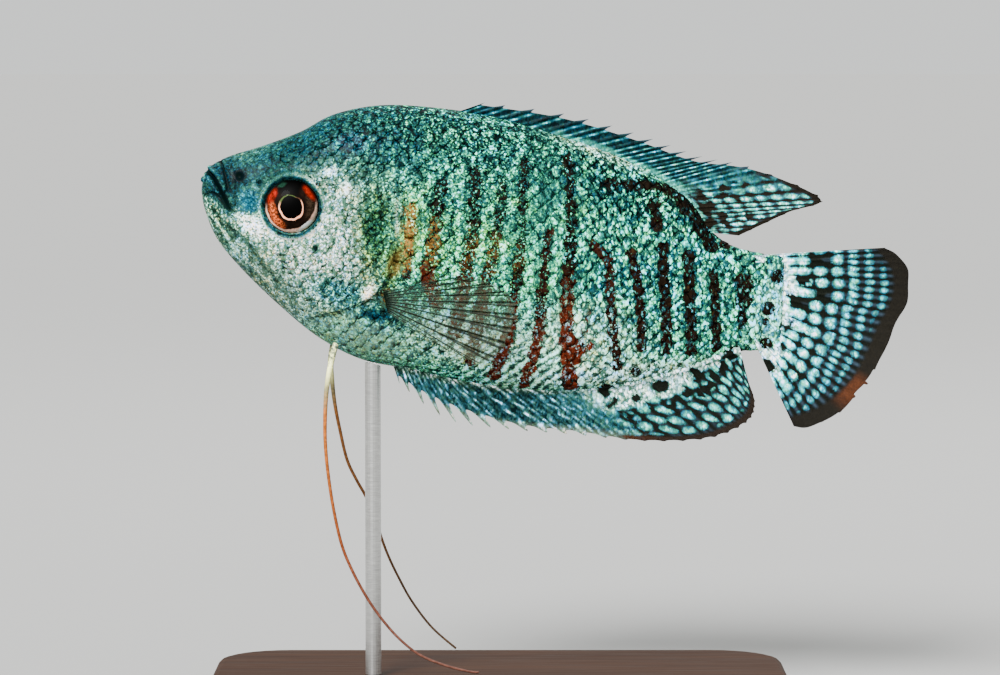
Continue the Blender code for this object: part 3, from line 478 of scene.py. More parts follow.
class Body:
    """The skin's left half as a grid from snout to tail and from belly to back, with the
    lengths that place a scale on it."""

    def __init__(self, share, quarter):
        stations = smooth_at(STATIONS, share)
        turn = np.linspace(-math.pi / 2, math.pi / 2, 2 * FINE_QUARTER + 1)
        self.quarter = quarter
        self.columns = 2 * quarter + 1
        base = np.zeros((len(share), self.columns, 3))
        self.reach = np.zeros((len(share), 2))
        for i, (bx, bz, lx, lz, half, widest) in enumerate(stations):
            height = widest + np.where(turn > 0, 1 - widest, widest) * np.sin(turn)
            ring = np.stack([
                lx + (bx - lx) * height, -section_width(height, half, widest),
                lz + (bz - lz) * height], axis=1)
            ring[0, 1] = ring[-1, 1] = 0
            arc = run_length(ring)
            lower, upper = arc[FINE_QUARTER], arc[-1] - arc[FINE_QUARTER]
            wanted = np.concatenate([
                np.linspace(0, lower, quarter + 1), lower + np.linspace(0, upper, quarter + 1)[1:]])
            for axis in range(3):
                base[i, :, axis] = np.interp(wanted, arc, ring[:, axis])
            self.reach[i] = lower, upper
        normal = self.normals_of(base)
        rise = skin_relief(base[..., 0], base[..., 2])
        rise *= ease(0.0, 0.35, -base[..., 1]) * 0.75 + 0.25
        self.flat = base
        self.place = base + normal * rise[..., None]
        self.place[:, 0, 1] = self.place[:, -1, 1] = 0
        self.normal = self.normals_of(self.place)
        self.along = run_length(base[:, quarter])

    def rings(self):
        """Whole rings: up the left side and down the right."""
        right = self.place[:, ::-1][:, 1:-1] * (1, -1, 1)
        return np.concatenate([self.place, right], axis=1)

    @staticmethod
    def normals_of(grid):
        """Outward normals of a grid of points on the left side."""
        normal = unit(np.cross(np.gradient(grid, axis=0), np.gradient(grid, axis=1)))
        normal *= np.where(normal[:, 2:-2, 1].mean() > 0, -1, 1)
        normal[:, 0, 1] = normal[:, -1, 1] = 0
        return unit(normal)

    def look_up(self, s, q):
        """Place and normal on the left side at length s along the flank and q up from its
        middle. Past the back or the belly the other side takes over."""
        i = np.clip(np.interp(s, self.along, np.arange(len(self.along))), 0, len(self.along) - 1.001)
        row = i.astype(int)
        f = i - row
        reach = self.reach[row] * (1 - f)[..., None] + self.reach[row + 1] * f[..., None]
        eta = np.where(q >= 0, q / reach[..., 1], q / reach[..., 0])
        over = np.abs(eta) > 1
        eta = np.where(over, np.sign(eta) * (2 - np.abs(eta)), eta)
        j = np.clip(self.quarter * (1 + np.clip(eta, -1, 1)), 0, self.columns - 1.001)
        column = j.astype(int)
        g = (j - column)[..., None]
        f = f[..., None]

        def blend(grid):
            return ((grid[row, column] * (1 - g) + grid[row, column + 1] * g) * (1 - f)
                    + (grid[row + 1, column] * (1 - g) + grid[row + 1, column + 1] * g) * f)

        flip = np.stack([np.ones_like(s), np.where(over, -1.0, 1.0), np.ones_like(s)], axis=-1)
        return blend(self.place) * flip, unit(blend(self.normal)) * flip


@functools.cache
def body():
    """The body's grid that scales are placed on, made once."""
    return Body(shares_between(NOSE_X, STALK_X, GRID_RINGS), GRID_QUARTER)


def side_width(x, z):
    """Half the body's width at one place seen from the side."""
    grid = body().flat
    away = (grid[..., 0] - x) ** 2 + (grid[..., 2] - z) ** 2
    i = np.unravel_index(away.argmin(), away.shape)
    return -grid[i][1]


def body_marks(x, z):
    """The fish's markings, with painted shade in its creases and pits, round the eye and under the
    gill cover, and painted highlights on its lips, at places seen from the side: two stored layers of
    four numbers, and the height from 0 on the belly to 1 on the back."""
    stations = smooth_at(STATIONS, np.linspace(0, 1, 200))
    back = np.interp(x, stations[:, 0], stations[:, 1])
    belly = np.interp(x, stations[:, 2], stations[:, 3])
    height = (z - belly) / np.maximum(back - belly, 1)
    bright = 0.53 + 0.05 * (1 - ease(0.15, 0.55, height)) - 0.06 * ease(0.6, 0.9, height)
    tints = np.zeros((5,) + x.shape)
    tints[4] = 0.72
    for cx, cz, half_x, half_z, lean, cover, tone, *amounts in STROKES:
        c, s = math.cos(math.radians(lean)), math.sin(math.radians(lean))
        a, b = (x - cx) * c + (z - cz) * s, (z - cz) * c - (x - cx) * s
        near = cover * np.exp(-((a / half_x) ** 2 + (b / half_z) ** 2) ** 1.6)
        bright += (tone - bright) * near
        for i, amount in enumerate(amounts):
            tints[i] += (amount - tints[i]) * near
    warm, silver, grey, net, grain = tints
    # How much of a bar or spot covers each place, and how red that is.
    bar, red = np.zeros_like(x), np.zeros_like(x)
    for half, cover_top, cover_low, red_top, red_low, line in BARS:
        away, _, share = line_distance(line, x, z, 16)
        wide = half * (1 + 0.22 * np.sin(2.9 * z + 1.3 * line[0][0]) + 0.12 * np.sin(7.1 * z))
        dark = cover_top + (cover_low - cover_top) * ease(0.25, 0.55, share)
        near = np.clip(0.5 + (wide - away) / (0.8 * half), 0, 1) * dark
        bright += 0.12 * dark * bump(away - 1.9 * half, 0.35)
        red = np.where(near > bar, red_top + (red_low - red_top) * ease(0.45, 0.82, share), red)
        bar = np.maximum(bar, near)
    for cx, cz, radius, dark in SPOTS + tuple((*spot, 1.0) for spot in CAUDAL_SPOTS + ANAL_SPOTS):
        near = dark * np.clip(0.5 + (radius - np.hypot(x - cx, z - cz)) / (0.8 * radius), 0, 1)
        red = np.where(near > bar, 0, red)
        bar = np.maximum(bar, near)
    # The dark ring round the eye is painted shade where the skin runs down into the eye's socket, with
    # a pale line under it.
    r = eye_distance(x, z)
    socket = bump(r - 3.24, 0.21)
    bright += (0.20 - bright) * socket * 0.95
    warm += (-0.9 - warm) * socket
    silver -= silver * socket
    grain -= 0.35 * grain * bump(r - 3.3, 0.4)
    bright += (0.12 + 0.22 * ease(1.0, -1.0, (z - EYE_CENTRE[1]) / 1.5)) * bump(r - 3.66, 0.12)
    # Painted shade along the mouth's slit and in the creases of the lips, jaw and throat.
    for line, dark, width in CREASE_SHADE:
        away, side, share = line_distance(line, x, z)
        bright -= dark * bump(away, width) * (1 - ease(0.8, 1.0, share))
        if line is MOUTH_SLIT:
            # Painted highlights along the crowns of the lips, on both sides of the slit.
            bright += 0.22 * bump(away * side - 0.50, 0.22) * (1 - ease(0.7, 0.85, share))
            bright += 0.20 * bump(away * side + 0.55, 0.30) * (1 - ease(0.4, 0.7, share))
        if line is THROAT_FOLD:
            bright += 0.22 * bump(away * side - 0.35, 0.22)
    # Painted shade in the nostril pits.
    for nx, nz, radius in NOSTRILS:
        bright -= 0.4 * (1 - ease(0.4, 1.6, np.hypot(x - nx, 0.8 * (z - nz)) / radius))
    # Painted shade in the groove just behind the middle of the gill cover's edge.
    away, side, share = line_distance(GILL_EDGE, x, z)
    middle = ease(0.25, 0.4, share) * (1 - ease(0.85, 1, share))
    bright -= 0.22 * bump(away * side - 0.15, 0.28) * middle
    marks = np.stack([bright, bar, red, grain], -1)
    return marks, np.stack([warm, silver, grey, net], -1), height


def mesh_from(name, points, *face_groups):
    """A smooth mesh object built fast from points in millimetres and arrays of faces, each
    array with one number of corners."""
    mesh = bpy.data.meshes.new(name)
    points = np.ascontiguousarray(points, np.float32) * np.float32(MM)
    corners = np.concatenate([group.ravel() for group in face_groups]).astype(np.int32)
    sizes = np.concatenate([np.full(len(group), group.shape[1]) for group in face_groups])
    starts = np.concatenate([[0], np.cumsum(sizes)[:-1]]).astype(np.int32)
    mesh.vertices.add(len(points))
    mesh.vertices.foreach_set("co", points.ravel())
    mesh.loops.add(len(corners))
    mesh.loops.foreach_set("vertex_index", corners)
    mesh.polygons.add(len(starts))
    mesh.polygons.foreach_set("loop_start", starts)
    mesh.update(calc_edges=True)
    mesh.shade_smooth()
    obj = bpy.data.objects.new(name, mesh)
    bpy.context.scene.collection.objects.link(obj)
    return obj


def paint_on(obj, **layers):
    """Stores four numbers a point under each name, for the material to read."""
    for name, values in layers.items():
        layer = obj.data.attributes.new(name, "FLOAT_COLOR", "POINT")
        layer.data.foreach_set("color", np.ascontiguousarray(values, np.float32).ravel())


def unwrap(obj, corner_uv):
    """Gives each corner of each face its own place on the texture that the export bakes."""
    layer = obj.data.uv_layers.new(name="OFBake")
    layer.data.foreach_set("uv", np.ascontiguousarray(corner_uv, np.float32).ravel())


def unwrap_points(obj, point_uv):
    """Gives each corner its point's place on the texture that the export bakes."""
    corners = np.empty(len(obj.data.loops), np.int32)
    obj.data.loops.foreach_get("vertex_index", corners)
    unwrap(obj, point_uv[corners])


def lattice(rows, columns):
    """The numbers of a lattice's points, and its squares."""
    cell = np.arange(rows * columns).reshape(rows, columns)
    squares = [cell[:-1, :-1], cell[1:, :-1], cell[1:, 1:], cell[:-1, 1:]]
    return cell, np.stack(squares, -1).reshape(-1, 4)


def turn_outwards(obj, weld=None):
    """Makes all faces of a closed mesh point outwards, once its doubles are merged."""
    bm = bmesh.new()
    bm.from_mesh(obj.data)
    if weld:
        bmesh.ops.remove_doubles(bm, verts=bm.verts, dist=weld)
    bmesh.ops.recalc_face_normals(bm, faces=bm.faces)
    bm.to_mesh(obj.data)
    bm.free()


def finish_piece(obj, material, slot, *nodes):
    """Gives a piece its material, its body and the nodes it stands for. The slot is not used."""
    obj.data.materials.clear()
    obj.data.materials.append(material)
    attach(obj, "root")
    if nodes:
        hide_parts(*nodes)


class Wire:
    """A socket in a material. Arithmetic on it adds Math nodes."""

    def __init__(self, finish, socket):
        self.finish = finish
        self.socket = socket

    def also(self, output):
        """Another output of the same node."""
        return Wire(self.finish, self.socket.node.outputs[output])

    def __add__(self, other):
        return self.finish.maths("ADD", self, other)

    def __radd__(self, other):
        return self.finish.maths("ADD", other, self)

    def __sub__(self, other):
        return self.finish.maths("SUBTRACT", self, other)

    def __rsub__(self, other):
        return self.finish.maths("SUBTRACT", other, self)

    def __mul__(self, other):
        return self.finish.maths("MULTIPLY", self, other)

    def __rmul__(self, other):
        return self.finish.maths("MULTIPLY", other, self)

    def __truediv__(self, other):
        return self.finish.maths("DIVIDE", self, other)

    def __pow__(self, other):
        return self.finish.maths("POWER", self, other)

    def clamp(self):
        """The same number, kept from 0 to 1."""
        return self.finish.maths("ADD", self, 0.0, clamp=True)

    def step(self, low, high):
        """0 below low and 1 above high, smoothly."""
        return self.finish.node(
            "ShaderNodeMapRange", {"interpolation_type": "SMOOTHSTEP"},
            {"Value": self, "From Min": low, "From Max": high})


class Finish:
    """A material in the making, whose nodes all come from one method."""

    def __init__(self, name, **constants):
        self.material = bpy.data.materials.new(name)
        self.material.use_nodes = True
        self.tree = self.material.node_tree
        self.shader = self.tree.nodes["Principled BSDF"]
        self.set(**constants)

    def node(self, kind, settings=None, values=None, output=0):
        """Adds a node, applies its settings, then sets or links its inputs."""
        made = self.tree.nodes.new(kind)
        for key, value in (settings or {}).items():
            if key == "stops":
                ramp = made.color_ramp
                while len(ramp.elements) < len(value):
                    ramp.elements.new(1.0)
                for element, (place, colour) in zip(ramp.elements, value):
                    element.position = place
                    element.color = (*colour, 1.0)
            else:
                setattr(made, key, value)
        for key, value in (values or {}).items():
            self.feed(made.inputs[key], value)
        return Wire(self, made.outputs[output])

    def feed(self, socket, value):
        """Links a wire to a socket, or sets it to a plain value."""
        if isinstance(value, Wire):
            self.tree.links.new(value.socket, socket)
        elif socket.type == "RGBA" and len(value) == 3:
            socket.default_value = (*value, 1.0)
        else:
            socket.default_value = value

    def set(self, **inputs):
        """Feeds inputs of the surface shader."""
        for name, value in inputs.items():
            self.feed(self.shader.inputs[name.replace("_", " ")], value)

    def maths(self, operation, *values, clamp=False):
        return self.node("ShaderNodeMath", {"operation": operation, "use_clamp": clamp},
                         dict(enumerate(values)))

    def vector(self, operation, *values):
        return self.node("ShaderNodeVectorMath", {"operation": operation}, dict(enumerate(values)))

    def place(self, scale=(1, 1, 1), turn=(0, 0, 0), offset=(0, 0, 0)):
        """Object coordinates in metres, moved, turned and scaled."""
        where = self.node("ShaderNodeTexCoord").also("Object")
        return self.node("ShaderNodeMapping", {"vector_type": "POINT"}, {
            "Vector": where, "Location": offset, "Rotation": turn, "Scale": scale})

    def split(self, wire, kind="ShaderNodeSeparateColor"):
        """The three numbers of a colour."""
        first = self.node(kind, None, {0: wire})
        return [first.also(i) for i in range(3)]

    def axes(self, vector):
        """The three coordinates of a place, in metres."""
        return self.split(vector, "ShaderNodeSeparateXYZ")

    def layer(self, name):
        """The four numbers stored at each point under a name."""
        stored = self.node("ShaderNodeAttribute", {"attribute_name": name})
        return self.split(stored) + [stored.also("Alpha")]

    def noise(self, vector, scale, detail=2.0, roughness=0.5):
        return self.node("ShaderNodeTexNoise", {"noise_dimensions": "3D"}, {
            "Vector": vector, "Scale": scale, "Detail": detail, "Roughness": roughness})

    def stray(self, vector, *steps):
        """The same place, strayed at each step's scale by up to its distance."""
        for scale, distance in steps:
            offset = self.vector("SUBTRACT", self.noise(vector, scale, 1.0).also("Color"), (0.5,) * 3)
            vector = self.vector("MULTIPLY_ADD", offset, (distance,) * 3, vector)
        return vector

    def cells(self, vector, scale):
        """Random cells: the distance to a cell's middle, and three random numbers a cell."""
        near = self.node("ShaderNodeTexVoronoi", {"feature": "F1"}, {"Vector": vector, "Scale": scale})
        return [near] + self.split(near.also("Color"))

    def net(self, vector, scale, width):
        """Thin lines between random cells."""
        away = self.node("ShaderNodeTexVoronoi", {"feature": "DISTANCE_TO_EDGE"}, {
            "Vector": vector, "Scale": scale})
        return 1 - away.step(width * 0.15, width)

    def grains(self):
        """Small painted grains, taller than wide: their places, how bright each is from about
        -1 to 1, the distance to its middle, three random numbers a grain, and a finer mottle."""
        where = self.stray(self.place(), *WANDER)
        tall = self.vector("MULTIPLY", where, (1.22, 1.22, 0.80))
        away, chance, hue, warmth = self.cells(tall, GRAINS)
        fine = self.noise(where, MOTTLE, 2.0, 0.6)
        lift = (chance - 0.5) * 1.05 + (0.44 - away) * 0.6 + (fine - 0.5) * 0.7
        return where, lift, away, chance, hue, warmth, fine

    def mix(self, factor, first, second):
        return self.node("ShaderNodeMix", {"data_type": "RGBA"}, {0: factor, 6: first, 7: second}, 2)

    def tinted(self, factor, colour, tint):
        """A colour multiplied by a tint, as far as the factor says."""
        return self.mix(factor, colour, self.vector("MULTIPLY", colour, tint))

    def ramp(self, factor, *stops):
        return self.node("ShaderNodeValToRGB", {"stops": stops}, {0: factor})

    def teals(self, tone, mint, glint, brightest):
        """The coat's colours from shadow to glint."""
        paints = bpy.context.scene.gourami_colours
        return self.ramp(
            tone, (0.0, paints.shadow), (0.25, paints.deep), (0.47, paints.teal), (0.68, mint),
            (0.87, glint), (1.0, brightest))

    def bump_from(self, height, strength, distance):
        self.set(Normal=self.node("ShaderNodeBump", None, {
            "Height": height, "Strength": strength, "Distance": distance}))


def skin_finish(name):
    """The glittering painted skin, read from the stored markings."""
    paints = bpy.context.scene.gourami_colours
    finish = Finish(name, **COAT)
    bright, bar, red, grain = finish.layer("marks")
    warm, silver, grey, net = finish.layer("tints")
    where, lift, away, chance, hue, warmth, fine = finish.grains()
    px, _, pz = finish.axes(where)
    # Towards the head the grains are finer and rounder.
    front = 1 - px.step(-0.001, 0.011)
    tiny, chance2, hue2, warmth2 = finish.cells(where, HEAD_GRAINS)
    lift = lift + ((chance2 - 0.5) * 0.95 + (0.44 - tiny) * 0.45 + (fine - 0.5) - lift) * front
    hue = hue + (hue2 - hue) * front
    warmth = warmth + (warmth2 - warmth) * front
    streak = finish.noise(finish.place((1500.0, 1500.0, 420.0), (0, math.radians(6), 0)), 1.0)
    drift = finish.noise(where, DRIFT)
    # A dark net where its number is above 0, and specks and curls where it is below.
    lines = finish.net(where, NET_CELLS, 0.15) * net.clamp()
    curls = 1 - finish.maths("ABSOLUTE", finish.noise(where, CURLS, 1.0) - 0.5).step(0.006, 0.035)
    curls = curls * finish.noise(where, 700.0, 1.0).step(0.46, 0.56)
    specks = (1 - finish.cells(where, SPECKS)[0].step(0.16, 0.36)) * 0.7 + curls * 0.75
    specks = specks.clamp() * (net * -1.0).clamp()
    # Slanting rows of dashes, low on the middle of the flank.
    dashes = finish.maths("SINE", (pz * 0.82 - px * 0.57) * 7400.0 + drift * 7.0)
    dashes = dashes * px.step(-0.007, -0.002) * (1 - px.step(0.007, 0.011))
    dashes = dashes * (1 - pz.step(0.0410, 0.0445)) * 0.26
    tone = (
        bright + lift * grain + (streak - 0.5) * grain * (front * 0.7 + 0.9) + (fine - 0.5) * 0.25
        - lines * 0.38 - specks * 0.62 + dashes)
    colour = finish.teals(tone, paints.mint, paints.glint, paints.pearl)
    pale = finish.ramp(tone, (0.05, paints.silver_dark), (0.53, paints.silver), (0.85, paints.cream))
    dull = finish.ramp(tone, (0.0, paints.grey_dark), (0.5, paints.grey), (1.0, paints.silver))
    colour = finish.mix(grey, finish.mix(silver, colour, pale), dull)
    # Grains turned blue or warm, and golden ones beside the gill cover.
    turned = (warm + (drift - 0.5) * 1.4) * (1 - silver * 0.5)
    colour = finish.tinted(((hue - 0.62) * 1.9 - turned).clamp() * 0.9, colour, (0.44, 0.86, 1.86))
    colour = finish.tinted(((warmth - 0.66) * 1.7 + turned).clamp() * 0.9, colour, (2.2, 1.05, 0.36))
    golden = finish.ramp(
        tone, (0.15, paint(66, 52, 14)), (0.5, paint(134, 116, 50)), (0.8, paint(190, 186, 120)),
        (1.0, paints.cream))
    colour = finish.mix(((warm - 1.0) * 1.3).clamp() * (0.5 + warmth).clamp(), colour, golden)
    # The bars, mottled and ragged at their edges, with grains of the coat showing through.
    lacquer = finish.mix((red * (0.6 + hue * 0.7)).clamp(), paints.bar_dark, paints.bar_red)
    gilt = ((warm - 0.3) * (warmth * 2.0 - 0.1)).clamp() * 0.85
    lacquer = finish.mix(gilt, lacquer, paint(182, 158, 84))
    lacquer = finish.tinted(1.0, lacquer, finish.ramp(
        chance * 0.6 + fine * 0.6, (0.25, (0.4, 0.38, 0.4)), (0.85, (2.0, 1.7, 1.5))))
    edge = (bar + (chance - 0.5) * 0.20 - (fine - 0.5) * 0.36).step(0.36, 0.54)
    speck = (hue * 0.6 + fine * 0.8 + front * 0.06).step(0.80, 0.94)
    speck = speck * (0.85 - px.step(0.010, 0.017) * 0.5) * (1 - (red * 1.2 - 0.2).clamp() * 0.6)
    shine = (tone - 0.3).clamp() * (1 - edge)
    finish.set(Base_Color=finish.mix(edge * (1 - speck), colour, lacquer),
               Roughness=0.55 - shine * 0.2)
    finish.bump_from(chance * 0.5 + fine * 0.6 - away, 0.35, 0.00006)
    return finish.material


def cap(ring, reach, turns, height):
    """Rings that close a ring off. With a height of 0 they make a dome, and with 1 a wedge that
    keeps its full height."""
    middle = ring.mean(axis=0)
    rings = []
    for a in np.radians(turns):
        tall = height + (1 - height) * math.cos(a)
        shrink = np.array([tall, math.cos(a), tall])
        rings.append(middle + (ring - middle) * shrink + np.array(reach) * math.sin(a))
    return rings


def build_skin():
    """One closed skin over head, jaw, gill covers, trunk and tail stalk: fine rings on the
    head, joined to rings with a third of the points on the scaled trunk."""
    head = Body(shares_between(NOSE_X, SHOULDER_X, HEAD_RINGS), HEAD_QUARTER).rings()
    trunk = Body(shares_between(SHOULDER_X, STALK_X, TRUNK_RINGS), TRUNK_QUARTER).rings()[1:]
    rings = [*cap(head[0], *NOSE_CAP), *head, *trunk, *cap(trunk[-1], *STALK_CAP)]
    start = np.concatenate([[0], np.cumsum([len(ring) for ring in rings])])
    points = np.concatenate(rings)
    u = TEXTURE_MARGIN + TEXTURE_SPAN * np.linspace(0, 1, len(rings))
    corner_counts = (3, 4, 6)
    faces = {count: [] for count in corner_counts}
    maps = {count: [] for count in corner_counts}

    def add(*corners):
        """Faces whose corners are given as ring numbers and unwrapped places on the ring."""
        faces[len(corners)].append(np.stack(
            [start[i] + place % len(rings[i]) for i, place in corners], -1))
        maps[len(corners)].append(np.stack([np.stack(
            [np.full(len(place), u[i]), TEXTURE_MARGIN + TEXTURE_SPAN * place / len(rings[i])], -1)
            for i, place in corners], 1))

    for i in range(len(rings) - 1):
        j = np.arange(len(rings[i + 1]))
        finer = len(rings[i]) // len(j)
        add(*((i, finer * j + k) for k in range(finer + 1)), (i + 1, j + 1), (i + 1, j))
    tips = np.array([rings[0].mean(axis=0), rings[-1].mean(axis=0)])
    for i, tip in ((0, len(points)), (len(rings) - 1, len(points) + 1)):
        j = np.arange(len(rings[i]))
        add((i, j), (i, j + 1), (i, j))
        faces[3][-1][:, 2] = tip
    points = np.concatenate([points, tips])
    skin = mesh_from("skin", points, *(np.concatenate(faces[k]) for k in corner_counts))
    unwrap(skin, np.concatenate([np.concatenate(maps[k]).reshape(-1, 2) for k in corner_counts]))
    turn_outwards(skin)
    marks, tints, _ = body_marks(points[:, 0], points[:, 2])
    paint_on(skin, marks=marks, tints=tints)
    finish_piece(
        skin, skin_finish("painted_skin"), "skin",
        "head", "lower_jaw", "gill_cover_left", "gill_cover_right", "trunk", "tail_stalk")


def scale_sites(pitch, row, on_head):
    """Where scales sit on one side: length along, length up, and size at each place."""
    grid = body()
    shrink = bpy.context.scene.gourami_scales.taper
    shrink = 1 - (1 - shrink) * ease(24, grid.along[-1], grid.along)
    steps = np.diff(grid.along) / (0.5 * (shrink[1:] + shrink[:-1]))
    stretched = np.concatenate([[0], np.cumsum(steps)])
    rows = int(32 / row)
    sites = []
    for k in range(-rows, rows + 1):
        places = (np.arange(0, int(stretched[-1] / pitch) + 2) + 0.5 * (k % 2)) * pitch
        s = np.interp(places[places < stretched[-1]], stretched, grid.along)
        g = np.interp(s, grid.along, shrink)
        q = k * row * g
        i = np.interp(s, grid.along, np.arange(len(grid.along))).astype(int)
        reach = np.where(q >= 0, grid.reach[i, 1], grid.reach[i, 0])
        sites.append(np.stack([s, q, g], -1)[np.abs(q) < reach + 0.3 * row * g])
    sites = np.concatenate(sites)
    place, _ = grid.look_up(sites[:, 0], sites[:, 1])
    x, z = place[:, 0], place[:, 2]
    away, side, share = line_distance(GILL_EDGE, x, z)
    past_end = (share <= 0.001) | (share >= 0.999)
    on_trunk = np.where(past_end, x > np.interp(
        z, (40, 44.2, 62.2, 64, 70), (-21, -22.4, -12.7, -20.5, -22.5)), side > 0)
    if not on_head:
        return sites[on_trunk]
    keep = ~on_trunk & (eye_distance(x, z) > 4.7) & (x > -26.5) & (z < 66.5)
    keep &= (away > 0.55) | past_end
    keep &= line_distance(JAW_FOLD, x, z)[0] > 0.6
    keep &= (x > -24.5) | (z < 60)
    return sites[keep & (x > np.interp(z, (46, 52, 56, 60), (-22, -24.5, -27, -27)))]


def scale_plates(pitch, row, lift, seed, contrast, on_head):
    """Overlapping scales on the left side, each a closed plate that follows the skin: points,
    faces of four and of three corners, stored layers and places on the baked texture."""
    grid = body()
    sites = scale_sites(pitch, row, on_head)
    rng = np.random.default_rng(seed)
    a_line = np.linspace(PLATE_FRONT, PLATE_REAR, PLATE_ROWS)
    b_line = np.linspace(-1, 1, PLATE_COLUMNS)
    rear = np.clip((a_line - 0.10) / (PLATE_REAR - 0.10), 0, 1)
    half = np.sqrt(np.clip(1 - rear**2.2, 0.03, 1)) * (0.78 + 0.22 * ease(PLATE_FRONT, -0.1, a_line))
    count = len(sites)
    # Places of the plate's points, on the skin's surface and risen from it towards the rear.
    s0, q0, g = (column[:, None, None] for column in sites.T)
    shade = rng.normal(0, 1, (count, 1))
    wobble = rng.uniform(-0.07, 0.07, (2, count, 1, 1))
    a, b = a_line[None, :, None], b_line[None, None, :]
    lobes = 1 + 0.05 * rng.normal(0, 1, (count, PLATE_ROWS, PLATE_COLUMNS)) * (a > 0.2)
    s = s0 + (a * lobes + wobble[0]) * pitch * g
    q = q0 + (b * half[None, :, None] * 1.12 + wobble[1]) * row * g
    place, normal = grid.look_up(s, q)
    rise = (a - PLATE_FRONT) / (PLATE_REAR - PLATE_FRONT) * lift * (1 - 0.35 * b**2) + 0.012
    rise = rise * (0.55 + 0.45 * g) * (1 + 0.12 * shade[..., None])
    rise *= 0.25 + 0.75 * ease(-2, 12, s0 + NOSE_X)
    middle, middle_normal = grid.look_up(s0[:, 0, 0], q0[:, 0, 0])
    root = (middle - middle_normal * 0.22)[:, None]
    points = np.concatenate([(place + normal * rise[..., None]).reshape(count, -1, 3), root], axis=1)

    # A lattice of squares on top, and a wedge from each edge down to the root.
    cell, squares = lattice(PLATE_ROWS, PLATE_COLUMNS)
    rim = np.concatenate([cell[0, :-1], cell[:-1, -1], cell[-1, :0:-1], cell[:0:-1, 0]])
    wedges = np.stack([rim, np.roll(rim, -1), np.full(len(rim), cell.size)], -1)
    offset = (np.arange(count) * points.shape[1])[:, None, None]

    # The skin's markings, with a brighter middle and a darker edge on each plate.
    marks, tints, _ = body_marks(points[..., 0], points[..., 2])
    centre, _, height = body_marks(middle[:, 0], middle[:, 2])
    aa = np.append(np.repeat(a_line, PLATE_COLUMNS), 0.0)
    bb = np.append(np.tile(b_line, PLATE_ROWS), 0.0)
    blob = np.exp(-(((aa - 0.30) / 0.34) ** 2 + (bb / 0.62) ** 2) ** 1.2)
    sides = 0.5 * ease(0.66, 1.0, np.abs(bb)) * ease(-0.2, 0.2, aa)
    edge = np.maximum(ease(0.52, PLATE_REAR, aa), sides)
    upper = (ease(0.62, 0.84, height) * (1 - ease(2, 16, middle[:, 0])))[:, None]
    plain = contrast * (1 - 0.8 * tints[..., 2]) * (0.2 + 0.8 * ease(-2, 12, middle[:, :1]))
    shape = blob * (0.11 - 0.07 * upper) - edge * (0.05 + 0.10 * upper)
    marks[..., 0] += plain * (shape + 0.04 * shade)
    worn = 0.16 * plain * blob * (marks[..., 1] < 0.9)
    marks[..., 1] = np.clip(0.75 * marks[..., 1] + 0.30 * centre[:, None, 1] - worn, 0, 1)
    marks[..., 2] = np.maximum(marks[..., 2], centre[:, None, 2])
    u = TEXTURE_MARGIN + TEXTURE_SPAN * sites[:, 0] / grid.along[-1]
    v = 0.25 + 0.23 * sites[:, 1] / 20.0
    spot = np.stack([u[:, None] + 0.0015 * aa, v[:, None] + 0.0015 * bb], -1)
    return points, squares + offset, wedges + offset, marks, tints, spot.reshape(-1, 2)


def build_scales():
    """The coat of scales: one piece for the trunk and one for the head on each side."""
    sizes = bpy.context.scene.gourami_scales
    material = skin_finish("painted_scales")
    pitch, row, lift = sizes.pitch / MM, sizes.row / MM, sizes.lift / MM
    coats = {
        "trunk": scale_plates(pitch, row, lift, sizes.seed, 1.0, False),
        "head": scale_plates(pitch * HEAD_SCALE_SIZE, row * HEAD_SCALE_SIZE, lift * HEAD_SCALE_LIFT,
                             sizes.seed + 1, 0.12, True),
    }
    for part, (points, squares, wedges, marks, tints, spot) in coats.items():
        squares, wedges = squares.reshape(-1, 4), wedges.reshape(-1, 3)
        for side, word in ((1, "left"), (-1, "right")):
            obj = mesh_from(f"scales_{part}_{word}", points.reshape(-1, 3) * (1, side, 1),
                            squares[:, ::side], wedges[:, ::side])
            sharp = obj.data.attributes.new("sharp_face", "BOOLEAN", "FACE")
            sharp.data.foreach_set("value", np.arange(len(obj.data.polygons)) >= len(squares))
            turn_outwards(obj)
            paint_on(obj, marks=marks, tints=tints)
            unwrap_points(obj, spot + (0, 0.5 * (side < 0)))
            finish_piece(obj, material, "skin")


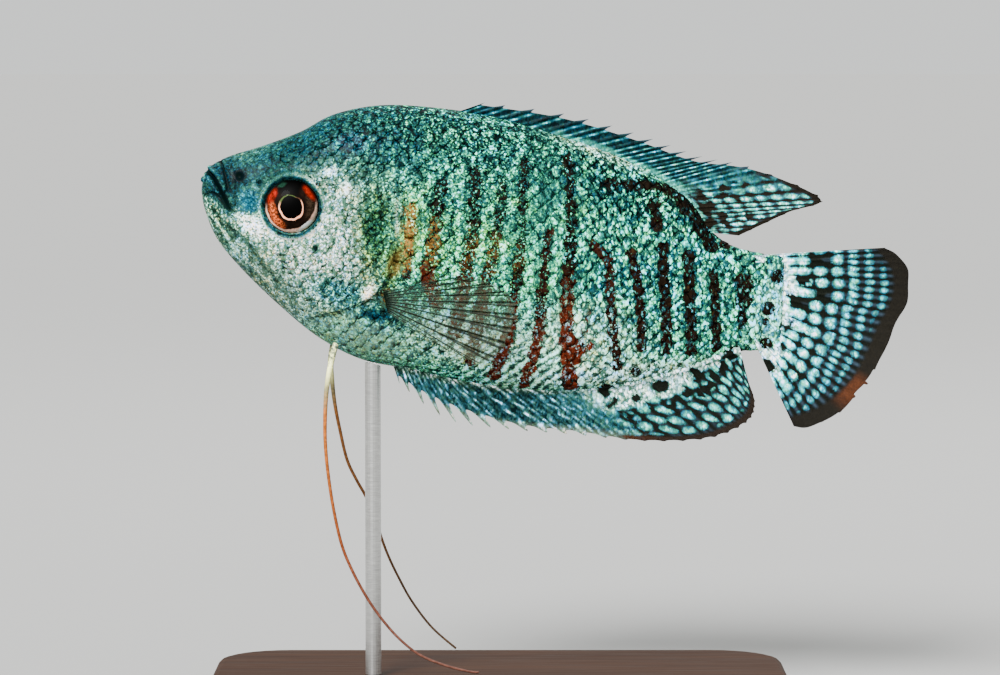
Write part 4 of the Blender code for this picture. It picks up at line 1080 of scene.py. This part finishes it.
def eye_finish():
    """A dark iris with red arcs and a pale ring round the black pupil, under clear varnish."""
    paints = bpy.context.scene.gourami_colours
    finish = Finish("eye_paint", Roughness=0.5, Specular_IOR_Level=0.02, Coat_Weight=0.007,
                    Coat_Roughness=0.02, Coat_IOR=1.4)
    centre = (-EYE_CENTRE[0] * MM, 0.0, -EYE_CENTRE[1] * MM)
    where = finish.stray(finish.place(offset=centre), (900.0, 0.0003), (3200.0, 0.00012))
    x, _, z = (axis / MM for axis in finish.axes(where))
    radius = (x * x + z * z) ** 0.5
    grain = finish.noise(where, 1700.0, 3.0, 0.6)
    fibre = finish.noise(where, 5200.0, 2.0, 0.6)

    def patch(angle, middle, long, wide):
        """A patch that lies along the iris at an angle counted up from the tail's side."""
        c, s = math.cos(math.radians(angle)), math.sin(math.radians(angle))
        out = (x * c + z * s - middle) / wide
        round_it = (z * c - x * s) / long
        away = (out * out + round_it * round_it) ** 0.5
        return 1 - (away + (grain - 0.5) * 0.7).step(0.30, 1.0)

    def sector(angle, low, high):
        """1 on the side of the eye that faces an angle."""
        c, s = math.cos(math.radians(angle)), math.sin(math.radians(angle))
        return ((x * c + z * s) / radius).step(low, high)

    colour = finish.mix((grain * 1.8 - 0.5).clamp(), paint(20, 12, 8), paints.iris)
    brown = (patch(-12, 2.2, 1.6, 0.85) + patch(20, 2.2, 0.8, 0.7)) * (0.3 + grain)
    colour = finish.mix(brown.clamp() * 0.75, colour, finish.mix(
        fibre.step(0.40, 0.62), paint(58, 44, 30), paint(112, 88, 66)))
    amber = (patch(192, 2.1, 1.5, 0.62) + patch(232, 2.35, 1.2, 0.68)) * (grain * 1.9 - 0.15)
    colour = finish.mix(amber.clamp(), colour, finish.mix(
        fibre.step(0.42, 0.66), paint(160, 84, 36), paint(230, 172, 106)))
    red = (patch(38, 2.5, 1.45, 0.46) + patch(150, 2.45, 1.25, 0.56)) * (fibre * 1.6 - 0.05)
    colour = finish.mix(red.clamp(), colour, finish.mix(
        grain.step(0.35, 0.62), paint(140, 34, 14), paints.iris_red))
    colour = finish.mix(sector(94, 0.74, 0.93) * 0.96, colour, paint(4, 5, 5))
    # A painted reflection: a teal green patch at the top left of the iris.
    colour = finish.mix(patch(114, 2.65, 0.7, 0.30) * fibre, colour, paint(48, 110, 84))
    thick = sector(306, 0.45, 0.95) * 0.26 + (grain - 0.5) * 0.16
    rim = (radius + thick).step(2.64, 2.82) * (1 - radius.step(2.86, 2.96))
    silver = rim * sector(275, -0.30, 0.30) * (0.30 + fibre * 1.1)
    colour = finish.mix(silver.clamp(), colour, paint(240, 222, 214))
    glow = patch(308, 2.56, 1.25, 0.26) * (0.6 + fibre)
    colour = finish.mix(glow.clamp(), colour, paint(253, 250, 248))
    colour = finish.mix((1 - radius.step(1.45, 1.9)) * 0.7, colour, paint(14, 8, 7))
    broad = sector(235, -0.75, 0.2) * 0.10 + (grain - 0.5) * 0.10
    ring = radius.step(1.24, 1.30) * (1 - (radius - broad).step(1.31, 1.40))
    ring_colour = finish.mix(sector(110, 0.2, 0.8), paint(242, 214, 196), paint(112, 132, 72))
    colour = finish.mix((ring * (1.1 - patch(48, 1.35, 0.6, 0.5))).clamp(), colour, ring_colour)
    colour = finish.mix(1 - radius.step(1.20, 1.27), colour, paint(2, 2, 2))
    # The eyeball's dark teal edge is painted shade where the eye sinks into its socket.
    finish.set(Base_Color=finish.mix(radius.step(2.92, 3.02), colour, paint(12, 44, 48)))
    finish.bump_from(grain * rim, 0.1, 0.00003)
    return finish.material


def build_eyes():
    """Two eyeballs, flattened as a fish's are."""
    material = eye_finish()
    x, z = EYE_CENTRE
    half = np.array([EYE_RADIUS, EYE_HALF_THICKNESS, EYE_RADIUS]) * MM
    for side, word in ((-1, "left"), (1, "right")):
        centre = np.array([x, side * (side_width(x, z) + EYE_BULGE - EYE_HALF_THICKNESS), z]) * MM
        bpy.ops.object.select_all(action="DESELECT")
        bpy.ops.mesh.primitive_uv_sphere_add(
            segments=EYE_SEGMENTS, ring_count=EYE_RINGS, radius=1.0, location=(0, 0, 0),
            rotation=(math.pi / 2, 0, 0))
        ball = bpy.context.active_object
        bpy.ops.object.transform_apply(location=True, rotation=True, scale=True)
        for vertex in ball.data.vertices:
            vertex.co = centre + np.array(vertex.co) * half
        ball.name = "eyeball_" + word
        ball.data.shade_smooth()
        turn_outwards(ball)
        finish_piece(ball, material, "eye", "eye_" + word)


class Fin:
    """A closed fin on a lattice, and what its paint is placed by: across from the first ray to
    the last, along from the root to the tips, phase from the nearest ray in ray spacings, and
    travel along the ray, which is length long, in mm."""

    def __init__(self, root, tips, rays, per_ray, rows, reach, sway, fork, foot,
                 sink=FIN_SINK, web=FIN_WEB, ridge=FIN_RIDGE):
        self.root, self.tips, self.rays, self.sink = root, tips, rays, sink
        across = np.linspace(0, 1, (rays - 1) * per_ray + 1)
        start, end = smooth_at(root, across), smooth_at(tips, across)
        self.length = np.linalg.norm(end - start, axis=1)[:, None]
        whole = self.length + sink
        start = start - unit(end - start) * sink
        phase = across * (rays - 1)
        phase = phase - np.round(phase)
        a, self.across = np.meshgrid(np.linspace(0, 1, rows + 1) ** 0.96, across)
        self.phase = np.broadcast_to(phase[:, None], a.shape)
        self.along = a * reach(across, phase)[:, None]
        self.travel = self.along * whole
        # The ray forks: its two branches part by the opening.
        opening = np.minimum(fork(across)[:, None] * np.clip(a - 0.42, 0, 1) / 0.58 * 0.24, 0.25)
        off_ray = np.abs(self.phase)
        self.from_ray = np.where(opening > 0.02, np.abs(off_ray - opening), off_ray)
        half = web + ridge * (1 - 0.6 * a) * bump(self.from_ray, 0.13)
        half = half * (1 - 0.55 * a**5)
        half = half + foot * np.exp(-np.maximum(a * whole - sink, 0) / (0.9 * foot + 0.01))
        flat = start[:, None] + (end - start)[:, None] * self.along[..., None]
        middle = sway(self.across, a)
        self.x, self.z = flat[..., 0], flat[..., 1]
        self.faces = [np.stack([self.x, middle + side * half, self.z], -1) for side in (-1, 1)]

    def measures(self):
        return self.across, self.along, self.phase, self.travel, self.length

    def bare(self, shift, spots):
        """1 for beads whose middles, a shift back along the ray, are clear of the dark spots."""
        whole = np.round(self.across * (self.rays - 1)) / (self.rays - 1)
        start, end = smooth_at(self.root, whole), smooth_at(self.tips, whole)
        middle = start + unit(end - start) * (self.travel - shift - self.sink)[..., None]
        return spots_on(middle[..., 0], middle[..., 1], spots) <= 0.5

    def hand_over(self, name, material, node, slot="fin", bead=1.0, line=0.0, edge=0.0,
                  opacity=1.0, bright=0.0, blue=0.0, green=0.0, silver=0.0):
        """Makes the mesh, stores its paint and lets it stand for its node."""
        columns, rows = self.across.shape
        cell, squares = lattice(columns, rows)
        count = cell.size
        # The wall round the rim joins the two faces.
        rim = np.concatenate([cell[:, 0], cell[-1, 1:], cell[-2::-1, -1], cell[0, -2:0:-1]])
        after = np.roll(rim, -1)
        wall = np.stack([rim, rim + count, after + count, after], -1)
        obj = mesh_from(name, np.concatenate([face.reshape(-1, 3) for face in self.faces]),
                        np.concatenate([squares, squares[:, ::-1] + count, wall]))
        turn_outwards(obj)
        for layer, numbers in (("marks", (bead, line, edge, opacity)),
                               ("tints", (bright, blue, green, silver))):
            numbers = np.stack([number * np.ones(cell.shape) for number in numbers], -1)
            paint_on(obj, **{layer: np.stack([numbers, numbers])})
        sheet = np.stack(np.meshgrid(
            np.linspace(0.01, 0.99, columns), np.linspace(0.01, 0.49, rows), indexing="ij"), -1)
        unwrap_points(obj, np.concatenate([sheet, sheet + (0, 0.5)]).reshape(-1, 2))
        finish_piece(obj, material, slot, node)


def ray_jitter(across, rays, seed):
    """A random number from -1 to 1 for each ray, the same all along it."""
    drawn = np.random.default_rng(seed).uniform(-1, 1, rays)
    return drawn[np.clip(np.round(across * (rays - 1)).astype(int), 0, rays - 1)]


def ray_beads(distance, pitch, long, phase, wide, offset=0.0):
    """Oval beads along a ray: 1 in the middle of a bead and 0 between."""
    wave = (distance / pitch + offset) % 1.0 - 0.5
    return np.exp(-(((wave / long) ** 2 + (phase / wide) ** 2) ** 1.6))


def spots_on(x, z, spots):
    """Where dark spots with wavy outlines lie."""
    mask = np.zeros(x.shape)
    x, z = x + 0.24 * np.sin(3.1 * z + 1.1 * x), z + 0.24 * np.sin(2.7 * x + 0.9 * z)
    x, z = x + 0.10 * np.sin(8.3 * z), z + 0.10 * np.sin(7.7 * x)
    for cx, cz, radius in spots:
        mask = np.maximum(mask, 1 - ease(0.75, 1.25, np.hypot(x - cx, z - cz) / radius))
    return mask


def notched(share, phase, width):
    """How far the web reaches: all the way on a ray, and to a share of it between rays."""
    return share + (1 - share) * bump(phase, width)


def fin_finish(name, line_paint):
    """Dark web with pale beads strung along the rays."""
    paints = bpy.context.scene.gourami_colours
    finish = Finish(name, **COAT)
    bead, line, edge, opacity = finish.layer("marks")
    bright, blue, green, silver = finish.layer("tints")
    _, lift, away, chance, hue, warmth, fine = finish.grains()
    web = finish.mix(edge, paints.web, paints.web_edge)
    web = finish.tinted(1.0, web, finish.ramp(fine, (0.3, (0.6,) * 3), (0.75, (1.7,) * 3)))
    outer = (1 - bead).clamp()
    tone = bright + lift * (0.24 + silver * 0.8) - outer * 0.5
    colour = finish.teals(tone, paint(90, 176, 166), paint(160, 222, 212), paints.cream)
    pale = finish.ramp(tone, (0.05, paints.silver_dark), (0.52, paints.silver), (0.92, paints.cream))
    colour = finish.mix(silver, colour, pale)
    bluish = (blue + (hue - 0.66) * 1.3 + outer * 0.7).clamp() * 0.85
    colour = finish.tinted(bluish, colour, (0.55, 0.86, 1.75))
    colour = finish.tinted(((warmth - 0.76) * 1.6).clamp(), colour, (1.6, 1.05, 0.55))
    colour = finish.mix((green * 0.6).clamp(), colour, paint(140, 132, 98))
    solid = (bead + (fine - 0.5) * 0.3 + (chance - 0.5) * 0.12).step(0.16, 0.52)
    colour = finish.mix(solid, web, colour)
    colour = finish.mix((line * (0.6 + fine * 0.8)).clamp(), colour, line_paint)
    finish.set(Base_Color=colour, Roughness=0.5 - solid * 0.08, Alpha=opacity)
    finish.bump_from(fine - away * 0.5, 0.3, 0.00004)
    return finish.material


def dorsal_edge(across, phase):
    """Notches between the spines, and nearly none between the soft rays."""
    return notched(0.78 + 0.20 * ease(0.44, 0.62, across), phase, 0.095)


def build_dorsal(material):
    """The dorsal fin: leaning spines with a notched web, then soft rays with beads."""
    fin = Fin(DORSAL_ROOT, DORSAL_TIPS, DORSAL_RAYS, 12, 56, dorsal_edge,
              lambda across, along: 0.25 * np.sin(5.0 * across) * along,
              lambda across: ease(0.56, 0.62, across), 0.45)
    across, along, phase, travel, length = fin.measures()
    soft = ease(0.50, 0.68, across + 0.03 * np.sin(2.6 * travel))
    ray = bump(fin.from_ray, 0.15)
    jitter = ray_jitter(across, DORSAL_RAYS, 11)
    stripe = np.maximum(bump(phase - 0.30, 0.11), (0.6 + 0.4 * jitter) * bump(phase + 0.18, 0.08))
    stripe *= 0.75 + 0.25 * np.sin(4.1 * travel + 9 * jitter)
    foot = (1 - ease(1.3, 2.2, travel + 0.3 * jitter)) * ease(0.12, 0.25, across)
    tip = ease(0.78, 0.92, along) * ray
    spiny_bead = 1 - ease(0.93, 1.0, along) * (1 - ray)
    stripe *= (0.92 + 0.25 * ease(0.2, 0.5, across)) * (1 - 0.2 * along) * (1 - 0.8 * foot)
    spiny_bright = 0.07 + stripe + 0.56 * foot + 0.10 * tip

    # Beads on the soft rays.
    beads = ray_beads(travel - 1.1 * across + 0.35 * jitter, 1.75, 0.46, phase, 0.42 - 0.06 * along)
    beads *= ease(1.2, 2.0, travel) * (1 - ease(length - 0.8, length - 0.3, travel))
    sheath = 1 - ease(1.0, 1.5, travel + 0.3 * jitter)
    clear = 1 - spots_on(fin.x, fin.z, DORSAL_SPOTS)
    soft_bead = np.clip(beads + sheath, 0, 1) * clear
    line = 0.5 * ray * soft * (1 - ease(length - 0.9, length - 0.2, travel)) * (1 - soft_bead) * clear
    fin.hand_over(
        "dorsal", material, "dorsal_fin", edge=0.05 * soft, line=line + 0.7 * tip * (1 - soft),
        bead=spiny_bead * (1 - soft) + soft_bead * soft,
        bright=spiny_bright * (1 - soft) + (0.76 + 0.14 * ease(1.8, 2.6, travel)) * soft,
        blue=0.85 * (1 - soft) * (1 - foot) * (1 - tip) + 0.15 * soft,
        green=0.25 * soft * (1 - ease(2.4, 3.2, travel)))


def anal_edge(across, phase):
    """Deep notches at the front, and nearly none at the rear."""
    share = 0.58 + 0.32 * ease(0.10, 0.34, across) + 0.08 * ease(0.35, 0.5, across)
    return notched(share, phase, 0.19)


def build_anal(material):
    """The anal fin: short spines with blue stripes, then beads on a dark web."""
    fin = Fin(ANAL_ROOT, ANAL_TIPS, ANAL_RAYS, 14, 56, anal_edge,
              lambda across, along: 0.35 * np.sin(6.0 * across + 0.5) * along,
              lambda across: ease(0.52, 0.6, across), 0.55)
    across, along, phase, travel, length = fin.measures()
    soft = ease(0.40, 0.56, across)
    ray = bump(fin.from_ray, 0.15)
    jitter = ray_jitter(across, ANAL_RAYS, 12)
    bend = 0.10 * np.sin(2.6 * travel + 9 * jitter)
    foot = 1 - ease(0.8, 1.8, travel)
    stripe = np.maximum((0.8 + 0.3 * jitter) * bump(phase + bend - 0.22, 0.20),
                        (0.55 - 0.4 * jitter) * bump(phase + 0.25, 0.14))
    stripe *= 0.72 + 0.28 * np.sin(3.7 * travel + 9 * jitter)
    high = 0.14 * (1 - ease(0.1, 0.3, across))
    tip = (1 - soft) * ease(0.76 - high, 0.94 - high, along)
    spiny_bead = 1 - 0.3 * tip * (1 - ray)
    spiny_bright = 0.10 + 0.84 * stripe + 0.22 * foot + 0.52 * tip

    # Beads towards the rear, staggered from ray to ray.
    every_other = np.round(across * (ANAL_RAYS - 1)) % 2
    beads = ray_beads(travel + 0.3 * jitter, 1.9, 0.42 - 0.10 * ease(0.85, 1.0, across), phase + bend,
                      0.40 + 0.05 * jitter, 0.5 * every_other)
    beads *= 1 - ease(length - 0.7, length - 0.2, travel)
    deep = 1.0 + 3.0 * (1 - ease(0.5, 0.85, across))
    sheath = 1 - ease(deep, deep + 0.9, travel + 0.5 * jitter)
    clear = 1 - spots_on(fin.x, fin.z, ANAL_SPOTS)
    rear_bead = np.clip(beads + sheath, 0, 1) * clear
    rim = ease(length - 0.3, length - 0.05, travel) * soft
    bead = (spiny_bead * (1 - soft) + rear_bead * soft) * (1 - rim)
    fin.hand_over(
        "anal", material, "anal_fin", bead=bead, line=0.35 * ray * (1 - rim) * (1 - bead) * clear,
        edge=0.1 * rim + 0.8 * tip, opacity=1 - 0.1 * rim,
        bright=spiny_bright * (1 - soft) + (0.84 - 0.10 * sheath) * soft,
        blue=0.95 * (1 - soft) * (1 - foot) * (1 - tip) + 0.2 * soft, green=1.1 * tip,
        silver=0.4 * np.maximum((0.5 + 0.5 * foot) * (1 - soft), sheath * soft))


def tail_sway(across, along):
    """The slow wave of the tail fin."""
    return 0.9 * along**1.5 * np.sin(2.2 * math.pi * across - 0.6)


def tail_edge(across, phase):
    """The whole web, rounded at its corners and a little frayed at the lower one."""
    frayed = bump(across - 0.70, 0.12) * (1 + ray_jitter(across, CAUDAL_RAYS, 21))
    frayed = frayed * (np.abs(phase) < 0.44)
    corners = 0.05 * bump(across, 0.03) + 0.06 * bump(across - 1, 0.04)
    return 1 - corners - 0.018 * frayed - 0.006 * (1 + np.sin(37 * across))


def build_tail(material):
    """The tail fin: beads in arcs on forked rays, a pale spotted root and a dark margin."""
    fin = Fin(CAUDAL_ROOT, CAUDAL_TIPS, CAUDAL_RAYS, 20, 110, tail_edge, tail_sway,
              lambda across: np.full_like(across, 2.4), 0.5, CAUDAL_SINK)
    across, along, phase, travel, length = fin.measures()
    jitter = ray_jitter(across, CAUDAL_RAYS, 13)
    outer = ease(4.0, length - 1.0, travel)
    split = ease(0.55, 0.66, along)
    # Beads that draw closer outwards and part with the forks.
    stretch = 0.014
    distance, pitch = travel + stretch * travel**2 + 0.3 * jitter, 2.40 - 0.40 * across
    beads = ray_beads(distance, pitch, 0.44 - 0.08 * outer,
                      phase + (fin.from_ray - phase) * split, 0.44 - 0.06 * outer - 0.18 * split)
    beads *= 1 - ease(length - 1.9, length - 1.0, travel + 0.3 * jitter)
    shift = (distance / pitch % 1.0 - 0.5) * pitch / (1 + 2 * stretch * travel)
    beads *= fin.bare(shift, CAUDAL_SPOTS)
    sheath = 1 - ease(3.5, 4.5, travel + 0.7 * jitter)
    strand = np.exp(-((phase / 0.40) ** 2) ** 1.5) * (1 - ease(4.8, 6.4, travel + 1.2 * jitter))
    clear = 1 - spots_on(fin.x, fin.z, CAUDAL_SPOTS)
    rim = ease(length - 1.35, length - 0.75, travel)
    bead = np.maximum(beads, np.clip(strand + sheath, 0, 1) * clear) * (1 - rim)
    lower = ease(0.60, 0.68, across) * (1 - ease(0.74, 0.82, across))
    lower *= ease(length - 1.1, length - 0.5, travel)
    fin.hand_over(
        "tail", material, "tail_fin", bead=bead,
        line=bump(fin.from_ray, 0.10) * (0.22 + 0.5 * outer) * (1 - rim) * (1 - bead) * clear,
        edge=0.04 * rim + 0.7 * lower, opacity=1 - 0.1 * rim,
        bright=0.98 - 0.20 * outer - 0.12 * sheath, blue=0.30 + 0.40 * outer, silver=0.4 * sheath)


def build_breast_fins():
    """The two breast fins: clear web between thin dark rays."""
    material = fin_finish("clear_fin_paint", bpy.context.scene.gourami_colours.ray)
    base = side_width(*smooth_at(PECTORAL_ROOT, 0.5)) + 0.55
    for side, word in ((-1, "left"), (1, "right")):
        fin = Fin(
            PECTORAL_ROOT, PECTORAL_TIPS, PECTORAL_RAYS, 14, 60,
            lambda across, phase: notched(0.97, phase, 0.095),
            lambda across, along: side * (
                base + 2.6 * along + 0.5 * along * np.sin(math.pi * across)),
            lambda across: 0.75 * ease(0.0, 0.2, across), 0.0,
            PECTORAL_SINK, PECTORAL_WEB, PECTORAL_RIDGE)
        along = fin.along
        width = 0.10 + 0.15 * (1 - ease(0.0, 0.35, along))
        ray = np.exp(-((fin.from_ray / width) ** 2) ** 2)
        pale = bump(fin.from_ray - width - 0.11, 0.09) * (1 - 0.5 * along)
        between = bump(np.abs(fin.phase) - 0.5, 0.05) * ease(0.5, 0.7, along) * 0.35
        root = 1 - ease(0.02, 0.09, along)
        strong = np.clip(np.maximum(ray * (1 - 0.3 * along), 0.2 * between), 0, 1)
        fin.hand_over(
            "breast_" + word, material, "breast_fin_" + word, "clear_fin",
            line=np.clip(strong * 1.5 + root, 0, 1), bright=0.62, green=1.5 - pale,
            opacity=np.clip(0.09 + 0.92 * strong + 0.22 * pale + root, 0, 1))


def feeler_finish():
    """Cream at the root, then golden, then orange brown towards the tip, with painted shade on the far
    feeler.
    """
    paints = bpy.context.scene.gourami_colours
    finish = Finish("feeler_paint", Specular_IOR_Level=0.05, Coat_Weight=0.05, Coat_Roughness=0.2)
    where = finish.place()
    _, side, height = (axis / MM for axis in finish.axes(where))
    down = 1 - height.step(6.0, 43.0)
    speckle = finish.noise(where, 2600.0, 3.0, 0.6)
    colour = finish.ramp(
        down + (speckle - 0.5) * 0.08, (0.0, paint(150, 168, 156)), (0.03, paints.feeler_root),
        (0.07, paint(190, 184, 150)), (0.15, paints.feeler_gold), (0.7, paints.feeler_tip),
        (1.0, paint(150, 104, 88)))
    # Painted shade: the far feeler, on the right side, is darkened towards olive brown.
    colour = finish.mix((side * 0.5).clamp() * 0.7, colour, paint(96, 88, 58))
    colour = finish.tinted(1.0, colour, finish.ramp(
        speckle, (0.35, (0.6, 0.6, 0.6)), (0.7, (1.35, 1.35, 1.3))))
    rings = finish.node("ShaderNodeTexWave", {"bands_direction": "Z"}, {
        "Vector": where, "Scale": 620.0, "Distortion": 2.0, "Detail": 1.0}).also("Fac")
    finish.set(Base_Color=colour, Roughness=0.38 + speckle * 0.2)
    finish.bump_from(rings + speckle, 0.3, 0.00004)
    return finish.material


def build_feelers():
    """Two feelers, each one jointed ray that thins towards its tip."""
    material = feeler_finish()
    shares = np.linspace(0, 1, FEELER_POINTS)
    radii = FEELER_RADIUS + 0.14 * bump(shares, 0.16) - 0.09 * shares
    for word, path in (("left", FEELER_LEFT), ("right", FEELER_RIGHT)):
        bpy.ops.object.select_all(action="DESELECT")
        bpy.ops.curve.primitive_nurbs_path_add(location=(0, 0, 0))
        curve = bpy.context.active_object
        curve.data.splines.clear()
        spline = curve.data.splines.new("POLY")
        spline.points.add(FEELER_POINTS - 1)
        for point, place, radius in zip(spline.points, smooth_at(path, shares), radii):
            point.co = (*(place * MM), 1.0)
            point.radius = float(radius)
        curve.data.bevel_depth = MM
        curve.data.bevel_resolution = 4
        curve.data.use_fill_caps = True
        bpy.ops.object.convert(target="MESH")
        feeler = bpy.context.active_object
        feeler.name = "feeler_" + word
        turn_outwards(feeler, weld=1e-6)
        feeler.data.shade_smooth()
        finish_piece(feeler, material, "feeler", *(f"feeler_{word}_{i}" for i in (1, 2, 3)))


def wood_finish():
    """Dark oiled wood, its grain along the base."""
    paints = bpy.context.scene.gourami_colours
    finish = Finish("oiled_wood", Specular_IOR_Level=0.03)
    stretched = finish.place((28.0, 420.0, 420.0))
    broad = finish.noise(stretched, 1.0, 4.0, 0.6)
    rings = finish.node("ShaderNodeTexWave", {"bands_direction": "Y", "wave_profile": "SAW"}, {
        "Vector": finish.place((1.0, 9.0, 9.0)), "Scale": 14.0, "Distortion": 5.0, "Detail": 3.0,
        "Detail Scale": 2.0}).also("Fac")
    pores = finish.noise(finish.place((140.0, 2600.0, 2600.0)), 1.0, 2.0, 0.6)
    grain = broad * 0.72 + rings * 0.28
    colour = finish.ramp(
        grain, (0.2, tuple(0.5 * c for c in paints.wood)), (0.5, paints.wood),
        (0.85, tuple(1.5 * c for c in paints.wood)))
    colour = finish.mix((1 - pores.step(0.30, 0.42)) * 0.6, colour, (0.02, 0.012, 0.008))
    finish.set(Base_Color=colour, Roughness=0.42 + pores * 0.18)
    finish.bump_from(pores + grain * 0.4, 0.25, 0.00012)
    return finish.material


def steel_finish():
    """Steel brushed round the rod."""
    finish = Finish("brushed_steel", Metallic=1.0)
    lines = finish.noise(finish.place((900.0, 900.0, 9000.0)), 1.0, 3.0, 0.7)
    broad = finish.noise(finish.place(), 160.0)
    colour = finish.ramp(lines, (0.25, (0.42, 0.42, 0.41)), (0.75, (0.70, 0.70, 0.68)))
    finish.set(Base_Color=colour, Roughness=0.22 + lines * 0.16 + broad * 0.08)
    finish.bump_from(lines, 0.15, 0.00002)
    return finish.material


def finish_stand():
    """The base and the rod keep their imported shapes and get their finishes."""
    for node, material in (("stand_base", wood_finish()), ("stand_rod", steel_finish())):
        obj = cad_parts[node]
        obj.data.materials.clear()
        obj.data.materials.append(material)


def stand_at(name, data, place, aim):
    """Adds a lamp or the camera at a place, pointed at its aim."""
    thing = bpy.data.objects.new(name, data)
    thing.location = place
    thing.rotation_euler = (Vector(aim) - thing.location).to_track_quat("-Z", "Y").to_euler()
    bpy.context.scene.collection.objects.link(thing)
    return thing


def build_stage():
    """A pale floor that meets a pale sky of the same shade, soft lights, and the camera."""
    settings = bpy.context.scene.gourami_stage
    bpy.ops.object.select_all(action="DESELECT")
    bpy.ops.mesh.primitive_plane_add(size=FLOOR_WIDTH, location=(0, 0, 0))
    floor = bpy.context.active_object
    floor.name = "studio_floor"
    finish = Finish("floor_paint", Roughness=0.9, Specular_IOR_Level=0.0)
    mottle = finish.noise(finish.place(), 30.0, 3.0)
    shade = bpy.context.scene.gourami_colours.floor
    finish.set(Base_Color=finish.tinted(mottle * 0.2, shade, (0.93, 0.93, 0.93)))
    floor.data.materials.append(finish.material)

    world = bpy.data.worlds.new("studio")
    bpy.context.scene.world = world
    world.use_nodes = True
    sky = world.node_tree.nodes["Background"]
    sky.inputs["Color"].default_value = SKY_COLOUR
    sky.inputs["Strength"].default_value = SKY_STRENGTH

    key = bpy.data.lights.new("key", "SUN")
    key.angle = KEY_ANGLE
    key.energy = KEY_STRENGTH
    stand_at("key", key, KEY_PLACE, (0, 0, 0))

    aim = Vector((0.0, 0.0, settings.height))
    rim = bpy.data.lights.new("rim", "AREA")
    rim.shape = "DISK"
    rim.size = RIM_WIDTH
    rim.energy = RIM_STRENGTH
    stand_at("rim", rim, RIM_PLACE, aim)

    lens = bpy.data.cameras.new("camera")
    lens.sensor_width = SENSOR_MM
    lens.lens = SENSOR_MM * settings.distance / settings.picture_width
    lens.clip_start = 0.01
    lens.clip_end = 20.0
    away = Vector((0.0, -math.cos(settings.elevation), math.sin(settings.elevation)))
    bpy.context.scene.camera = stand_at("camera", lens, aim + settings.distance * away, aim)


class GOURAMI_OT_skin(bpy.types.Operator):
    """Build the skin over the head, trunk and tail stalk"""

    bl_idname = "gourami.skin"
    bl_label = "Skin"

    def execute(self, context):
        build_skin()
        return {"FINISHED"}


class GOURAMI_OT_scales(bpy.types.Operator):
    """Lay the overlapping scales on the skin"""

    bl_idname = "gourami.scales"
    bl_label = "Scales"

    def execute(self, context):
        build_scales()
        return {"FINISHED"}


class GOURAMI_OT_eyes(bpy.types.Operator):
    """Set the two eyes in their sockets"""

    bl_idname = "gourami.eyes"
    bl_label = "Eyes"

    def execute(self, context):
        build_eyes()
        return {"FINISHED"}


class GOURAMI_OT_middle_fins(bpy.types.Operator):
    """Build the dorsal, anal and tail fins"""

    bl_idname = "gourami.middle_fins"
    bl_label = "Dorsal, anal and tail fins"

    def execute(self, context):
        material = fin_finish("fin_paint", context.scene.gourami_colours.line)
        build_dorsal(material)
        build_anal(material)
        build_tail(material)
        return {"FINISHED"}


class GOURAMI_OT_breast_fins(bpy.types.Operator):
    """Build the two clear breast fins"""

    bl_idname = "gourami.breast_fins"
    bl_label = "Breast fins"

    def execute(self, context):
        build_breast_fins()
        return {"FINISHED"}


class GOURAMI_OT_feelers(bpy.types.Operator):
    """Hang the two feelers"""

    bl_idname = "gourami.feelers"
    bl_label = "Feelers"

    def execute(self, context):
        build_feelers()
        return {"FINISHED"}


class GOURAMI_OT_stand(bpy.types.Operator):
    """Finish the stand's base and rod"""

    bl_idname = "gourami.stand"
    bl_label = "Stand"

    def execute(self, context):
        finish_stand()
        return {"FINISHED"}


class GOURAMI_OT_stage(bpy.types.Operator):
    """Add the floor, the lights and the camera"""

    bl_idname = "gourami.stage"
    bl_label = "Stage"

    def execute(self, context):
        build_stage()
        return {"FINISHED"}


OPERATORS = (
    GOURAMI_OT_skin, GOURAMI_OT_scales, GOURAMI_OT_eyes, GOURAMI_OT_middle_fins,
    GOURAMI_OT_breast_fins, GOURAMI_OT_feelers, GOURAMI_OT_stand, GOURAMI_OT_stage,
)


class GOURAMI_PT_panel(bpy.types.Panel):
    """Settings and build steps of the gourami model"""

    bl_idname = "GOURAMI_PT_panel"
    bl_label = "Gourami"
    bl_space_type = "VIEW_3D"
    bl_region_type = "UI"
    bl_category = "Gourami"

    def draw(self, context):
        for group in SETTINGS:
            box = self.layout.box()
            settings = getattr(context.scene, group)
            for name in settings.__annotations__:
                box.prop(settings, name)
        for operator in OPERATORS:
            self.layout.operator(operator.bl_idname)


SETTINGS = {
    "gourami_scales": GouramiScales, "gourami_colours": GouramiColours,
    "gourami_stage": GouramiStage,
}
CLASSES = (*SETTINGS.values(), *OPERATORS, GOURAMI_PT_panel)


def register():
    for cls in CLASSES:
        bpy.utils.register_class(cls)
    for name, group in SETTINGS.items():
        setattr(bpy.types.Scene, name, bpy.props.PointerProperty(type=group))


def unregister():
    for name in SETTINGS:
        delattr(bpy.types.Scene, name)
    for cls in reversed(CLASSES):
        bpy.utils.unregister_class(cls)


def main():
    register()
    bpy.ops.gourami.skin()
    bpy.ops.gourami.scales()
    bpy.ops.gourami.eyes()
    bpy.ops.gourami.middle_fins()
    bpy.ops.gourami.breast_fins()
    bpy.ops.gourami.feelers()
    bpy.ops.gourami.stand()
    bpy.ops.gourami.stage()


if __name__ == "__main__":
    main()
